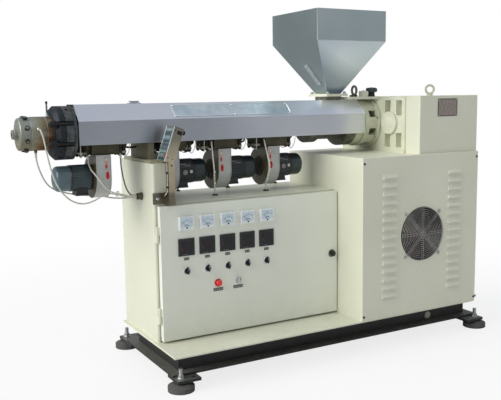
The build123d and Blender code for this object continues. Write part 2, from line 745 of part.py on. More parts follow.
def fan_blade():
    """One blade about the Y axis: a pitched, bowed plate that widens towards its tip."""
    radius, root = fan_opening_radius - fan_blade_gap, fan_hub_radius - fan_hub_round
    stations = []
    for share, width in ((0.0, fan_blade_root_width), (1.0, fan_blade_tip_width)):
        low = Vector(-width / 2, -fan_blade_depth / 2)
        high = Vector(width / 2, fan_blade_depth / 2)
        thickness = Vector(0, fan_blade_thickness)
        front = SagittaArc(low, high, fan_blade_bow)
        back = SagittaArc(high + thickness, low + thickness, -fan_blade_bow)
        sides = [Line(high, high + thickness), Line(low + thickness, low)]
        plane = Plane(
            origin=(root + share * (radius + 1 - root), 0, 0), x_dir=(0, 0, 1), z_dir=(1, 0, 0)
        )
        stations.append(plane * make_face([front, sides[0], back, sides[1]]))
    swept = Rot(90, 0, 0) * Cylinder(radius, 2 * fan_blade_depth)
    return loft(stations) & swept


def fan_rotor():
    """The hub and its bowed blades, turning on the motor's shaft."""
    middle = motor_front + sheet + fan_set_back
    hub = Rot(90, 0, 0) * Cylinder(fan_hub_radius, fan_hub_depth)
    hub = fillet(hub.faces().sort_by(Axis.Y)[0].edges(), fan_hub_round)
    blade = fan_blade()
    blades = [Rot(0, 360 / fan_blade_count * n, 0) * blade for n in range(fan_blade_count)]
    bore = Rot(90, 0, 0) * Cylinder(fan_shaft_radius + fan_shaft_fit, 2 * fan_hub_depth)
    return Pos(panel_middle_x, middle, panel_middle_z) * (hub + blades - bore)


def fan_guard():
    """The wire guard: rings crossed by pairs of spokes, of which four reach its ears."""
    x, z = panel_middle_x, panel_middle_z
    back = motor_front - guard_standoff
    rings = []
    for n in range(guard_ring_count):
        radius = guard_first_radius + guard_ring_pitch * n
        ring = rod_y(radius + guard_wire / 2, x, (back - guard_wire, back), z)
        rings.append(ring - rod_y(radius - guard_wire / 2, x, (back - 2 * guard_wire, back + 1), z))
    outer = guard_first_radius + guard_ring_pitch * (guard_ring_count - 1)
    spokes = []
    for n in range(guard_spoke_pairs):
        reach = guard_ear_offset * math.sqrt(2) if n % 2 else outer + guard_wire
        for side in (-1, 1):
            middle = side * guard_spoke_gap / 2
            spoke = block(
                (-reach, reach),
                (back - guard_wire_lap, back - guard_wire_lap + guard_wire),
                (middle - guard_wire / 2, middle + guard_wire / 2),
            )
            spokes.append(Pos(x, 0, z) * Rot(0, 180 / guard_spoke_pairs * n, 0) * spoke)
    corners = [(side_x, side_z) for side_x in (-1, 1) for side_z in (-1, 1)]
    ears = [
        rod_y(
            guard_ear_radius,
            x + side_x * guard_ear_offset,
            (back, motor_front),
            z + side_z * guard_ear_offset,
        )
        for side_x, side_z in corners
    ]
    return rings[0] + rings[1:] + spokes + ears


def gearbox():
    """The cast housing: a ribbed end face, a body behind it and a bolted bearing cover."""
    back = cabinet_back
    face_right = gearbox_left + gearbox_face_thickness
    face = block((gearbox_left, face_right), (gearbox_front, back), (motor_top, gearbox_top))
    face = fillet(face.edges().filter_by(Axis.X), gearbox_round)
    for y in pocket_columns:
        for low, high in pocket_rises:
            recess = block(
                (gearbox_left - 1, gearbox_left + pocket_depth),
                (y - pocket_width / 2, y + pocket_width / 2),
                (axis_height + low, axis_height + high),
            )
            face -= fillet(recess.edges().filter_by(Axis.X), pocket_round)
    body = block(
        (face_right, gearbox_right),
        (gearbox_front + gearbox_body_inset, back - gearbox_body_inset),
        (motor_top, gearbox_top - gearbox_body_inset),
    )
    cover = rod_x(
        bearing_cover_radius,
        (gearbox_left - bearing_cover_depth, gearbox_left),
        bearing_cover_y,
        axis_height,
    )
    cover = fillet(cover.faces().sort_by(Axis.X)[0].edges(), bearing_cover_round)
    return face + body + cover


def drive_cover():
    """The sheet cover round the gearbox's drive end, open below and where the casting shows."""
    cover = block((cover_left, cover_right), (cover_front, cabinet_back), (motor_top, gearbox_top))
    face_right = gearbox_left + gearbox_face_thickness
    hollow = block(
        (cover_left + sheet, cover_right - sheet),
        (cover_front + sheet, cabinet_back - sheet),
        (motor_top - 1, gearbox_top - sheet),
    )
    passage = block(
        (cover_left - 1, face_right + cover_clearance),
        (gearbox_front - passage_clearance, cabinet_back + 1),
        (motor_top - 1, gearbox_top + 1),
    )
    cover = fillet(cover.faces().sort_by(Axis.Y)[0].edges().filter_by(Axis.Z), cover_round)
    return cover - hollow - passage


def lifting_eye(x, y, z, turn):
    """An eye bolt standing on a plate at height z."""
    collar = rod_z(eye_collar_radius, 0, 0, (0, eye_collar_height))
    middle = eye_collar_height + eye_ring_radius
    ring = Pos(0, 0, middle) * Rot(90, 0, 0) * Torus(eye_ring_radius, eye_wire_radius)
    return Pos(x, y, z) * Rot(0, 0, turn) * (collar + ring)


def bell_housing():
    """The round casting between the barrel and the gearbox, with windows between its ribs."""
    ring_right = bell_left + bell_ring_width
    flange_left = gearbox_left - bell_flange_width
    bell = rod_x(bell_ring_radius, (bell_left, ring_right), 0, axis_height)
    bell += rod_x(bell_radius, (ring_right, flange_left), 0, axis_height)
    bell += rod_x(bell_flange_radius, (flange_left, gearbox_left), 0, axis_height)
    hollow = (ring_right - bell_floor, gearbox_left + 1)
    bell -= rod_x(bell_radius - bell_wall, hollow, 0, axis_height)
    middle = (ring_right + flange_left) / 2 + window_shift
    for turn in window_turns:
        window = block(
            (-window_width / 2, window_width / 2),
            (-window_height / 2, window_height / 2),
            (bell_radius / 2, bell_radius + 1),
        )
        window = fillet(window.edges().filter_by(Axis.Z), window_round)
        bell -= Pos(middle, 0, axis_height) * Rot(turn, 0, 0) * window
    # The feed plate bears on a flat across the top.
    flat = block(
        (bell_left - 1, gearbox_left + 1),
        (-bell_flange_radius - 1, bell_flange_radius + 1),
        (cover_top + cover_clearance, axis_height + bell_flange_radius + 1),
    )
    return bell - flat


def barrel():
    """The barrel with its feed section and flanges, bored where the hopper feeds it."""
    body = rod_x(barrel_radius, (barrel_left, feed_section_left), 0, axis_height)
    body += rod_x(feed_section_radius, (feed_section_left, bell_left), 0, axis_height)
    front_left = feed_section_left - front_flange_lead
    front = (front_left, front_left + front_flange_width)
    body += rod_x(front_flange_radius, front, 0, axis_height)
    body += rod_x(rear_flange_radius, (rear_flange_left, bell_left), 0, axis_height)
    throat = block(
        (hopper_x - throat_half_x, hopper_x + throat_half_x),
        (-throat_half_y, throat_half_y),
        (axis_height, throat_top),
    )
    body += throat
    outlet = block(
        (hopper_x - throat_half_x + outlet_wall, hopper_x + throat_half_x - outlet_wall),
        (-throat_half_y + outlet_wall, throat_half_y - outlet_wall),
        (axis_height, throat_top + 1),
    )
    return body - outlet


def barrel_cover():
    """The bright half-octagon cover, cut where the feed throat comes through its top."""

    def outline(inset):
        half = cover_half - inset
        reach = half * math.tan(math.radians(22.5))
        top = axis_height + half
        return [
            (-half, cover_skirt_z),
            (-half, axis_height + reach),
            (-reach, top),
            (reach, top),
            (half, axis_height + reach),
            (half, cover_skirt_z),
        ]

    x = (barrel_cover_left, barrel_cover_right)
    shell = profile_x(outline(0), x)
    inner = outline(barrel_cover_sheet)
    inner[0] = (inner[0][0], cover_skirt_z - 1)
    inner[-1] = (inner[-1][0], cover_skirt_z - 1)
    shell -= profile_x(inner, (x[0] - 1, x[1] + 1))
    slot = block(
        (hopper_x - throat_half_x - cover_slot_gap, hopper_x + throat_half_x + cover_slot_gap),
        (-throat_half_y - cover_slot_gap, throat_half_y + cover_slot_gap),
        (axis_height, cover_top + 1),
    )
    return shell - slot


def heater_bands():
    """The cast heater of each zone round the barrel, with terminal posts under both ends."""
    bands = []
    for duct_x in zone_duct_x:
        ends = (duct_x - heater_length / 2, duct_x + heater_length / 2)
        band = rod_x(heater_radius, ends, 0, axis_height)
        for end in [ends[0] + n for n in terminal_insets] + [ends[1] - n for n in terminal_insets]:
            for y in (-terminal_spread, terminal_spread):
                bottom = axis_height - heater_radius - terminal_drop
                band += rod_z(terminal_radius, end, y, (bottom, axis_height - barrel_radius))
        bands.append(band - rod_x(barrel_radius, (ends[0] - 1, ends[1] + 1), 0, axis_height))
    return bands


def cooling_ducts():
    """The sheet duct that leads each blower's air up round its heater."""
    ducts = []
    for x in zone_duct_x:
        half = zone_duct_width / 2
        duct = block(
            (x - half, x + half),
            (-zone_duct_half_depth, zone_duct_half_depth),
            (zone_duct_bottom, axis_height),
        )
        ducts.append(duct - rod_x(heater_radius, (x - half - 1, x + half + 1), 0, axis_height))
    return ducts


def scroll(x):
    """A blower's scroll: a round drum whose front side rises straight into the duct."""
    ends = (x - scroll_thickness / 2, x + scroll_thickness / 2)
    drum = rod_x(scroll_radius, ends, 0, blower_axis_z)
    neck = block(
        ends,
        (-scroll_radius, -scroll_radius + scroll_neck_width),
        (blower_axis_z, zone_duct_bottom),
    )
    return drum + neck


def blower_housings():
    housings = []
    for x, side in zip(blower_x, blower_side):
        body = scroll(x)
        edge = x - side * scroll_thickness / 2
        ends = sorted((edge, edge + side * intake_depth))
        housings.append(body - rod_x(intake_radius, ends, 0, blower_axis_z))
    return housings


def blower_motors():
    """A drum motor beside each scroll, with a rounded fan cowl and a terminal box below."""
    motors = []
    for x, side in zip(blower_x, blower_side):
        start = x + side * scroll_thickness / 2
        cowl = start + side * blower_motor_length
        end = cowl + side * cowl_length
        body = rod_x(blower_motor_radius, sorted((start, cowl)), 0, blower_axis_z)
        cap = rod_x(cowl_radius, sorted((cowl, end)), 0, blower_axis_z)
        far = cap.faces().sort_by(Axis.X)[-1 if side > 0 else 0]
        cap = fillet(far.edges(), cowl_round)
        near = start + side * motor_box_inset
        box = block(
            sorted((near, near + side * motor_box_width)),
            (motor_box_y - motor_box_depth / 2, motor_box_y + motor_box_depth / 2),
            (
                blower_axis_z - blower_motor_radius - motor_box_height,
                blower_axis_z - motor_box_seat,
            ),
        )
        motors.append(body + cap + box)
    return motors


def barrel_support():
    """The foot plate on the end post and the upright that cradles the barrel."""
    base = block(
        (cabinet_left + support_inset, post_right - support_inset),
        (-support_base_half, support_base_half),
        (post_top, post_top + support_base_thickness),
    )
    middle = (cabinet_left + post_right) / 2
    upright = block(
        (middle - support_thickness / 2, middle + support_thickness / 2),
        (-support_half, support_half),
        (post_top + support_base_thickness, axis_height),
    )
    support = base + upright
    return support - rod_x(barrel_radius, (cabinet_left, post_right), 0, axis_height)


def die_flanges():
    """The two notched discs that clamp the die, the rear one with holes for a hook spanner."""
    middle = clamp_split
    left = rod_x(clamp_radius, (clamp_left, middle - clamp_gap / 2), 0, axis_height)
    left = chamfer(
        left.faces().sort_by(Axis.X)[0].edges(), clamp_bevel, clamp_radius - clamp_face_radius
    )
    right = rod_x(clamp_radius, (middle + clamp_gap / 2, clamp_right), 0, axis_height)
    between = (middle - clamp_gap / 2, middle + clamp_gap / 2)
    spigot = rod_x(barrel_radius, between, 0, axis_height)
    notch = block(
        (clamp_left - 1, clamp_right - clamp_back_wall),
        (-notch_width / 2, notch_width / 2),
        (clamp_radius - notch_depth, clamp_radius + 1),
    )
    notches = [Pos(0, 0, axis_height) * Rot(turn, 0, 0) * notch for turn in notch_turns]
    rear_middle = (middle + clamp_right - clamp_back_wall) / 2
    hole = rod_z(
        spanner_hole_radius, rear_middle, 0, (clamp_radius - spanner_hole_depth, clamp_radius + 1)
    )
    holes = [Pos(0, 0, axis_height) * Rot(turn, 0, 0) * hole for turn in spanner_turns]
    seam = (clamp_right - clamp_back_wall, clamp_right - clamp_back_wall + clamp_seam_width)
    ring = rod_x(clamp_radius + 1, seam, 0, axis_height)
    ring -= rod_x(clamp_radius - clamp_seam_depth, seam, 0, axis_height)
    return left - notches, (right + spigot) - notches - holes - ring


def clamp_bolts():
    """The swing bolts in the clamp's notches, each with a large nut on the die's side."""
    circle = clamp_radius - clamp_bolt_inset
    nut_left = clamp_left - clamp_nut_depth
    shank = rod_x(clamp_bolt_radius, (nut_left, clamp_right - clamp_back_wall), 0, circle)
    nut_plane = Plane(origin=(nut_left, 0, circle), x_dir=(0, 1, 0), z_dir=(1, 0, 0))
    bolt = shank + extrude(nut_plane * RegularPolygon(clamp_nut_radius, 6), clamp_nut_depth)
    return [Pos(0, 0, axis_height) * Rot(turn, 0, 0) * bolt for turn in notch_turns]


def die_body():
    """The die's round body with its front ring, nozzle and centring screws."""
    nozzle_tip = die_left - nozzle_length
    body = rod_x(die_radius, (die_left, clamp_left), 0, axis_height)
    body = fillet(body.faces().sort_by(Axis.X)[0].edges(), die_round)
    body += rod_x(nozzle_radius, (nozzle_tip, die_left), 0, axis_height)
    bore = (nozzle_tip - 1, nozzle_tip + nozzle_bore_depth)
    body -= rod_x(nozzle_radius / 2, bore, 0, axis_height)
    screw = rod_z(
        adjuster_radius,
        die_left + adjuster_inset,
        0,
        (die_radius - adjuster_seat, die_radius + adjuster_height),
    )
    for n in range(adjuster_count):
        turn = 360 / adjuster_count * (n + 0.5)
        body += Pos(0, 0, axis_height) * Rot(turn, 0, 0) * screw
    groove = (die_left + die_ring_width, die_left + die_ring_width + die_groove_width)
    ring = rod_x(die_radius + 1, groove, 0, axis_height)
    return body - (ring - rod_x(die_radius - die_groove_depth, groove, 0, axis_height))


def melt_probe():
    foot = axis_height + die_radius
    return rod_z(probe_radius, clamp_left - probe_inset, 0, (foot, foot + probe_length))


def keypad_arm():
    """The plate bolted to the end post and the upright that carries the keypad."""
    back = cabinet_front
    plate = block(
        (arm_plate_left, arm_plate_right),
        (back - arm_plate_thickness, back),
        (arm_plate_bottom, arm_plate_top),
    )
    reach = block((arm_left, arm_right), (arm_front, back), (arm_plate_bottom, arm_plate_top))
    upright = block((arm_left, arm_right), (arm_front, arm_back), (arm_plate_bottom, arm_top))
    return plate + reach + upright


def keypad():
    """The operator's keypad: a slim box, tilted back on a level foot, its face towards the die."""
    hidden = keypad_depth * math.tan(math.radians(keypad_tilt)) + 1
    size = (keypad_depth, keypad_width, keypad_length + hidden)
    box = Pos(keypad_depth / 2, 0, (keypad_length - hidden) / 2) * Box(*size)
    box = fillet(box.edges().filter_by(Axis.Y).sort_by(Axis.Z)[2:], keypad_round)
    middle_y = arm_front + keypad_width / 2
    box = Pos(arm_left - keypad_foot_inset, middle_y, arm_top) * Rot(0, keypad_tilt, 0) * box
    reach = (arm_left - 2 * keypad_length, arm_left + 2 * keypad_length)
    across = (middle_y - keypad_width, middle_y + keypad_width)
    return box - block(reach, across, (arm_top - keypad_length, arm_top))


def die_outlets():
    """The two sleeves on the die that its heater cables leave from."""
    side_z = axis_height + side_outlet_rise
    side = rod_y(outlet_radius, side_outlet_x, (side_outlet_y, 0), side_z)
    reach = axis_height - die_radius - outlet_length
    under = rod_z(outlet_radius, under_outlet_x, 0, (reach, axis_height))
    die = rod_x(die_radius, (die_left, clamp_left), 0, axis_height)
    return [side - die, under - die]


def zone_outlets():
    """The two sleeves under the first heater band that its cables leave from."""
    band = rod_x(heater_radius, (barrel_left, 0), 0, axis_height)
    bottom = axis_height - zone_outlet_drop
    return [
        rod_z(outlet_radius, x, zone_outlet_y, (bottom, axis_height)) - band
        for x in zone_outlet_x
    ]


def cable_glands():
    """The gland on the end wall, the grommets in the cabinet's roof and the cables' outlets."""
    gland = rod_x(gland_radius, (gland_mouth, cabinet_left), gland_y, gland_z)
    grommet = (control_top, control_top + grommet_depth)
    grommets = [rod_z(wire_grommet_radius, x, y, grommet) for x, y in wire_feet]
    grommets += [rod_z(lead_grommet_radius, x, y, grommet) for x, y in lead_feet]
    return [gland] + grommets + die_outlets() + zone_outlets()


def cable_path(start, points, end):
    """Straight runs joined by arcs as large as the runs allow, with the arcs' radii."""
    spots = [Vector(*point) for point in (start, *points, end)]
    runs = [after - before for before, after in zip(spots, spots[1:])]
    radii = []
    for before, after in zip(runs, runs[1:]):
        half_turn = math.radians(before.get_angle(after) / 2)
        radii.append(arc_share * min(before.length, after.length) / math.tan(half_turn))
    return FilletPolyline(*spots, radius=radii), radii


def cables():
    """The four cables that hang from their outlets and run into the gland."""
    zone_bottom = axis_height - zone_outlet_drop
    starts = {
        "die_cable_side": (side_outlet_x, side_outlet_y, axis_height + side_outlet_rise),
        "die_cable_under": (under_outlet_x, 0, axis_height - die_radius - outlet_length),
        "zone_cable_left": (zone_outlet_x[0], zone_outlet_y, zone_bottom),
        "zone_cable_right": (zone_outlet_x[1], zone_outlet_y, zone_bottom),
    }
    made = {}
    for name, points in cable_routes.items():
        side_y, side_z = cable_sides[name]
        end = (gland_mouth, gland_y + side_y * cable_offset, gland_z + side_z * cable_offset)
        path, radii = cable_path(starts[name], points, end)
        print(name, "radii", [round(radius) for radius in radii])
        section = Plane(origin=path @ 0, z_dir=path % 0) * Circle(cable_radius)
        made[name] = sweep(section, path=path)
    return made


def zone_wires():
    """The stiff wires from the zones' terminals down to their grommets."""
    wires = []
    for foot, bend, end, bend_drop in zip(wire_feet, wire_bends, wire_ends, wire_bend_drops):
        start = Vector(*foot, control_top + grommet_depth)
        line = FilletPolyline(
            start,
            start + Vector(0, 0, wire_rise),
            (*bend, axis_height - bend_drop),
            (*end, axis_height - wire_end_drop),
            radius=wire_bend_radius,
        )
        wires.append(sweep(Plane(origin=start, z_dir=(0, 0, 1)) * Circle(wire_radius), path=line))
    return wires


def motor_leads():
    """The short leads from the boxes of the three blowers above the cabinet to their grommets."""
    box_back = motor_box_y + motor_box_depth / 2
    run_z = blower_axis_z - blower_motor_radius - motor_box_height / 2
    leads = []
    for x, foot in zip(blower_x[1:], lead_feet):
        box_x = x + scroll_thickness / 2 + motor_box_inset + motor_box_width / 2
        start = Vector(box_x, box_back, run_z)
        line = FilletPolyline(
            start,
            (box_x, box_back + lead_straight, run_z),
            (*foot, run_z),
            (*foot, control_top + grommet_depth),
            radius=lead_bend_radius,
        )
        leads.append(sweep(Plane(origin=start, z_dir=(0, 1, 0)) * Circle(lead_radius), path=line))
    return leads


def hopper_flange():
    """The bolted plate under the hopper, open in the middle."""
    plate = block(
        (hopper_x - hopper_flange_half_x, hopper_x + hopper_flange_half_x),
        (-hopper_flange_half_y, hopper_flange_half_y),
        (throat_top, hopper_flange_top),
    )
    hole = block(
        (hopper_x - outlet_half_x + hopper_sheet, hopper_x + outlet_half_x - hopper_sheet),
        (-outlet_half_y + hopper_sheet, outlet_half_y - hopper_sheet),
        (throat_top - 1, hopper_flange_top + 1),
    )
    return plate - hole


def hopper():
    """The open sheet hopper: a square box over a pyramid."""

    def solid(inset, low, high):
        outlet = (2 * (outlet_half_x - inset), 2 * (outlet_half_y - inset))
        top = 2 * (hopper_half - inset)
        foot = Pos(hopper_x, 0, hopper_flange_top) * Rectangle(*outlet)
        brow = Pos(hopper_x, 0, hopper_break) * Rectangle(top, top)
        body = loft([foot, brow])
        body += extrude(brow, high - hopper_break)
        if low < hopper_flange_top:
            body += extrude(foot, low - hopper_flange_top)
        return body

    return solid(0, hopper_flange_top, hopper_top) - solid(
        hopper_sheet, hopper_flange_top - 1, hopper_top + 1
    )


def feed_plate():
    """The plate from the hopper's flange to the gearbox, with a bored block on it."""
    low = cover_top + cover_clearance
    plate = block(
        (feed_plate_left, gearbox_left),
        (-feed_plate_half_width, feed_plate_half_width),
        (low, feed_plate_top),
    )
    boss = block(
        (feed_block_left, feed_block_right),
        (feed_block_front, feed_block_back),
        (feed_plate_top, feed_plate_top + feed_block_height),
    )
    return plate + boss


def filler_cap():
    """The ribbed black cap beside the gearbox."""
    neck_top = feed_plate_top + filler_neck_height
    neck = rod_z(filler_neck_radius, filler_x, filler_y, (feed_plate_top, neck_top))
    cap = rod_z(
        filler_cap_radius, filler_x, filler_y, (neck_top, feed_plate_top + filler_height)
    )
    return neck + fillet(cap.faces().sort_by(Axis.Z)[-1].edges(), filler_round)


def pieces():
    """Every sub-part, by name."""
    long_rails, end_rails = base_rails()
    frame_sides, frame_rails = door_frame()
    hinge_fixed, hinge_turning = hinges()
    clamp_front, clamp_rear = die_flanges()
    made = {
        "base_long_rails": long_rails,
        "base_end_rails": end_rails,
        "foot_plates": foot_plates(),
        "levelling_pads": levelling_pads(),
        "levelling_studs": levelling_studs(),
        "deck_plate": deck_plate(),
        "end_post": end_post(),
        "control_roof": control_roof(),
        "control_back": control_back(),
        "door_frame_sides": frame_sides,
        "door_frame_rails": frame_rails,
        "cabinet_door": cabinet_door(),
        "hinge_leaves": hinge_fixed,
        "hinge_knuckles": hinge_turning,
        "ammeters": ammeters(),
        "temperature_controllers": temperature_controllers(),
        "switch_bezels": switch_bezels(),
        "pilot_lamp": pilot_lamp(),
        "lock_knob": lock_knob(),
        "motor_cabinet_sides": motor_cabinet_sides(),
        "motor_cabinet_back": motor_cabinet_back(),
        "motor_cabinet_roof": motor_cabinet_roof(),
        "fan_panel": fan_panel(),
        "fan_frame": fan_frame(),
        "fan_rotor": fan_rotor(),
        "fan_guard": fan_guard(),
        "gearbox": gearbox(),
        "drive_cover": drive_cover(),
        "lifting_eyes": [
            lifting_eye(cover_eye_x, cover_eye_y, gearbox_top, cover_eye_turn),
            lifting_eye(plate_eye_x, plate_eye_y, feed_plate_top, plate_eye_turn),
        ],
        "bell_housing": bell_housing(),
        "barrel": barrel(),
        "barrel_cover": barrel_cover(),
        "heater_bands": heater_bands(),
        "cooling_ducts": cooling_ducts(),
        "blower_housings": blower_housings(),
        "blower_motors": blower_motors(),
        "barrel_support": barrel_support(),
        "die_clamp_front": clamp_front,
        "die_clamp_rear": clamp_rear,
        "clamp_bolts": clamp_bolts(),
        "die_body": die_body(),
        "melt_probe": melt_probe(),
        "keypad_arm": keypad_arm(),
        "keypad": keypad(),
        "cable_glands": cable_glands(),
        "zone_wires": zone_wires() + motor_leads(),
        "hopper_flange": hopper_flange(),
        "hopper": hopper(),
        "feed_plate": feed_plate(),
        "filler_cap": filler_cap(),
    }
    made.update(cables())
    places = switch_places()
    for n, (x, z) in enumerate(places[:-1], start=1):
        made[f"switch_knob_{n}"] = switch_knob(x, z)
    made["selector_knob"] = switch_knob(*places[-1])
    return made


def joined(piece):
    """One shape for a sub-part, whether it is one solid or several."""
    return Compound(list(piece)) if isinstance(piece, list) else piece


def main():
    os.makedirs("parts", exist_ok=True)
    made = {name: joined(piece) for name, piece in pieces().items()}
    boxes = [made[name].bounding_box() for name in made if name not in cable_routes]
    low = [min(tuple(box.min)[n] for box in boxes) for n in range(3)]
    high = [max(tuple(box.max)[n] for box in boxes) for n in range(3)]
    shift = (-(low[0] + high[0]) / 2, -(low[1] + high[1]) / 2, -low[2])
    print("moved by", tuple(round(v, 4) for v in shift))
    print("size", tuple(round(high[n] - low[n], 2) for n in range(3)))
    for name, piece in made.items():
        export_step(Location(shift) * piece, f"parts/{name}.step")


main()
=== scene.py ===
# %% [markdown]
# A plastic extruder: a cream cabinet on a black steel base, a heated barrel under a bright sheet
# cover, a hopper, a gearbox, and a die held in a heavy clamp. The shapes that matter come from CAD.
# This lesson gives them their finishes, and adds what is too small for the CAD model: rivets,
# screws, meter faces, labels, motor ribs, welds and the braided cables.
#
# Each step is a cell of words and then one or more short cells of code. Lengths are in
# millimetres while a piece is drawn, and its mesh is turned into metres when it is finished.

import json
import math

import bmesh
import bpy
from mathutils import Matrix, Vector

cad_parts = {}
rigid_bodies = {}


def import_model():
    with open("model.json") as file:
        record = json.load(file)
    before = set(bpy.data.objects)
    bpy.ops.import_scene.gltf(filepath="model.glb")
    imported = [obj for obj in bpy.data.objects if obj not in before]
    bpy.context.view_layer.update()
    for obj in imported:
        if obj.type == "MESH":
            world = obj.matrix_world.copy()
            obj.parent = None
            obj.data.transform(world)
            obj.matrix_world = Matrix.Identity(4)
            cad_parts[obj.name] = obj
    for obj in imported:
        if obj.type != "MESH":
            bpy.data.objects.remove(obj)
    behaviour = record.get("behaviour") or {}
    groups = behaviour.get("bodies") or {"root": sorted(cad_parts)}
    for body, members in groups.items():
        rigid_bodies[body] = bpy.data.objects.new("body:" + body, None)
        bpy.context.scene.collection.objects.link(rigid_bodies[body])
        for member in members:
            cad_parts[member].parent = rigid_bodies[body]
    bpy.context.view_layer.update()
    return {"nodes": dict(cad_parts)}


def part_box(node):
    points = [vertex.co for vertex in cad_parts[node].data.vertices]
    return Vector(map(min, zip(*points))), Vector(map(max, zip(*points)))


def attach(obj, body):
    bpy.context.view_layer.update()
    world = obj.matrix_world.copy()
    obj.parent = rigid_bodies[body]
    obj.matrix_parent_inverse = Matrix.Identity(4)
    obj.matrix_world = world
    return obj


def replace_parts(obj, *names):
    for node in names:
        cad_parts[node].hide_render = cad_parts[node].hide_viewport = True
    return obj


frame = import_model()

# %% [markdown]
# The machine was drawn with the barrel's axis at Y = 0 and X counted from the middle of the
# hopper's end. The CAD model was then moved so that its origin is the middle of the footprint.
# The barrel tells how far: its left end was drawn at X = -796 mm. One matrix then takes a piece
# from the drawing, in millimetres, to its place on the machine, in metres.

# %% From the drawing to the machine
BARREL_LEFT = -796.0
barrel_low, barrel_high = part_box("barrel")
moved_x = barrel_low[0] - BARREL_LEFT / 1000
moved_y = (barrel_low[1] + barrel_high[1]) / 2
DRAWING = Matrix.Translation((moved_x, moved_y, 0)) @ Matrix.Scale(0.001, 4)


def on_machine(x, y, z):
    """A point of the drawing, in metres on the machine."""
    return DRAWING @ Vector((x, y, z))


def drawn_box(node):
    """A CAD node's low and high corners, in millimetres on the drawing."""
    back = DRAWING.inverted()
    low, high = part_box(node)
    return back @ Vector(low), back @ Vector(high)


print("moved by", round(moved_x * 1000, 2), round(moved_y * 1000, 2))

# %% [markdown]
# The camera stands where the photographer stood: low, level with the barrel, and off to the die's
# end, so that the machine runs away to the right. A camera is easiest to aim with three vectors:
# forward from the compass turn and the tilt, right, and up, the last two rolled by a degree.

# %% Camera
EYE = (-1608.9, -2893.0, 1127.5)
TURN, TILT, ROLL = math.radians(29.11), math.radians(7.85), math.radians(-0.87)
FOCAL_PIXELS, FRAME_WIDTH = 747.5, 501

forward = Vector(
    (math.sin(TURN) * math.cos(TILT), math.cos(TURN) * math.cos(TILT), -math.sin(TILT))
)
level_right = Vector((math.cos(TURN), -math.sin(TURN), 0))
level_up = level_right.cross(forward)
right = math.cos(ROLL) * level_right + math.sin(ROLL) * level_up
up = math.cos(ROLL) * level_up - math.sin(ROLL) * level_right

lens = bpy.data.cameras.new("photographer")
lens.sensor_width = 36
lens.lens = FOCAL_PIXELS / FRAME_WIDTH * lens.sensor_width
lens.clip_end = 60
camera = bpy.data.objects.new("photographer", lens)
bpy.context.scene.collection.objects.link(camera)
aim = Matrix((right, up, -forward)).transposed().to_4x4()
camera.matrix_world = Matrix.Translation(on_machine(*EYE)) @ aim
bpy.context.scene.camera = camera
print("lens", round(lens.lens, 2), "mm")

# %% [markdown]
# The four cables are the only loose things here. Each is one smooth NURBS curve through a few
# points, the same ones that the CAD tube follows, so it hangs where the tube is. A
# curve with a round bevel keeps its thickness everywhere, which a swept mesh would need care for.
# The bevel is one metre deep and each point's radius brings it down to the cable's, because the box
# that Blender keeps for a curve reaches out from its points by that radius.

# %% Cables
CABLE_DIAMETER = 0.006
cable_points = {
    "die_cable_side": [
        (-936, -68, 1021), (-936, -92, 1021), (-932, -110, 1003), (-928, -117, 977),
        (-922, -115, 940), (-914, -111, 900), (-903, -106, 856), (-887, -101, 811),
        (-862, -97, 772), (-828, -93, 741), (-785, -89, 727), (-742, -85, 735),
        (-706, -80, 753), (-672, -74, 760.5), (-633, -67, 751), (-588, -61.6, 733.4),
        (-555, -61.6, 733.4),
    ],
    "die_cable_under": [
        (-934, 0, 929), (-934, 0, 900), (-925, 9, 871), (-911.5, 25, 841), (-895, 43, 812),
        (-873, 63, 787), (-843, 77, 768), (-805, 87, 755), (-765, 92, 745), (-723, 92, 738),
        (-690, 86, 735), (-660, 62, 733), (-645, 25, 731), (-632, -12, 731),
        (-612, -40, 732), (-583, -54.4, 733.4), (-555, -54.4, 733.4),
    ],
    "zone_cable_left": [
        (-744, -42, 915), (-744, -42, 885), (-742, -62, 858), (-731, -93, 836),
        (-716, -97, 812), (-698, -97, 788), (-677, -93, 770), (-651, -85, 758.5),
        (-621, -74, 752), (-586, -61.6, 740.6), (-555, -61.6, 740.6),
    ],
    "zone_cable_right": [
        (-611, -42, 915), (-611, -42, 889), (-611.5, -44, 862), (-608, -46, 832),
        (-603, -48.5, 800), (-597, -51, 775), (-588, -53, 755), (-573, -54.4, 740.6),
        (-555, -54.4, 740.6),
    ],
}


def hang_cable(name, points):
    """A round curve through the points, and its length in metres."""
    shape = bpy.data.curves.new(name + "_braid", "CURVE")
    shape.dimensions = "3D"
    run = shape.splines.new("NURBS")
    run.points.add(len(points) - 1)
    for point, place in zip(run.points, points):
        point.co = (*on_machine(*place), 1)
        point.radius = CABLE_DIAMETER / 2
    run.order_u = 3
    run.use_endpoint_u = True
    run.resolution_u = 10
    cable = bpy.data.objects.new(name + "_braid", shape)
    bpy.context.scene.collection.objects.link(cable)
    bpy.context.view_layer.update()
    line = bpy.data.meshes.new_from_object(cable)
    spots = [vertex.co for vertex in line.vertices]
    length = sum((b - a).length for a, b in zip(spots, spots[1:]))
    bpy.data.meshes.remove(line)
    shape.bevel_depth = 1
    shape.bevel_resolution = 3
    shape.use_fill_caps = True
    return cable, length


cables = {}
for name, points in cable_points.items():
    cables[name], length = hang_cable(name, points)
    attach(cables[name], "machine")
    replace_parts(cables[name], name)
    print(name, round(length, 3), "m")

# %% [markdown]
# Now the studio: soft daylight from the die's end, against white. A low, very wide sun on the left
# makes the left faces bright and leaves the front ones half as bright, and the world fills the
# rest, more from above and behind than from below and in front. The world looks white to the
# camera, but lights the machine less, so that the paint keeps its own colour. In a mirror it is
# brighter overhead than at the horizon, and darkest behind, which gives sheet metal its shading.

# %% Light and view
scene = bpy.context.scene
scene.view_settings.view_transform = "Standard"

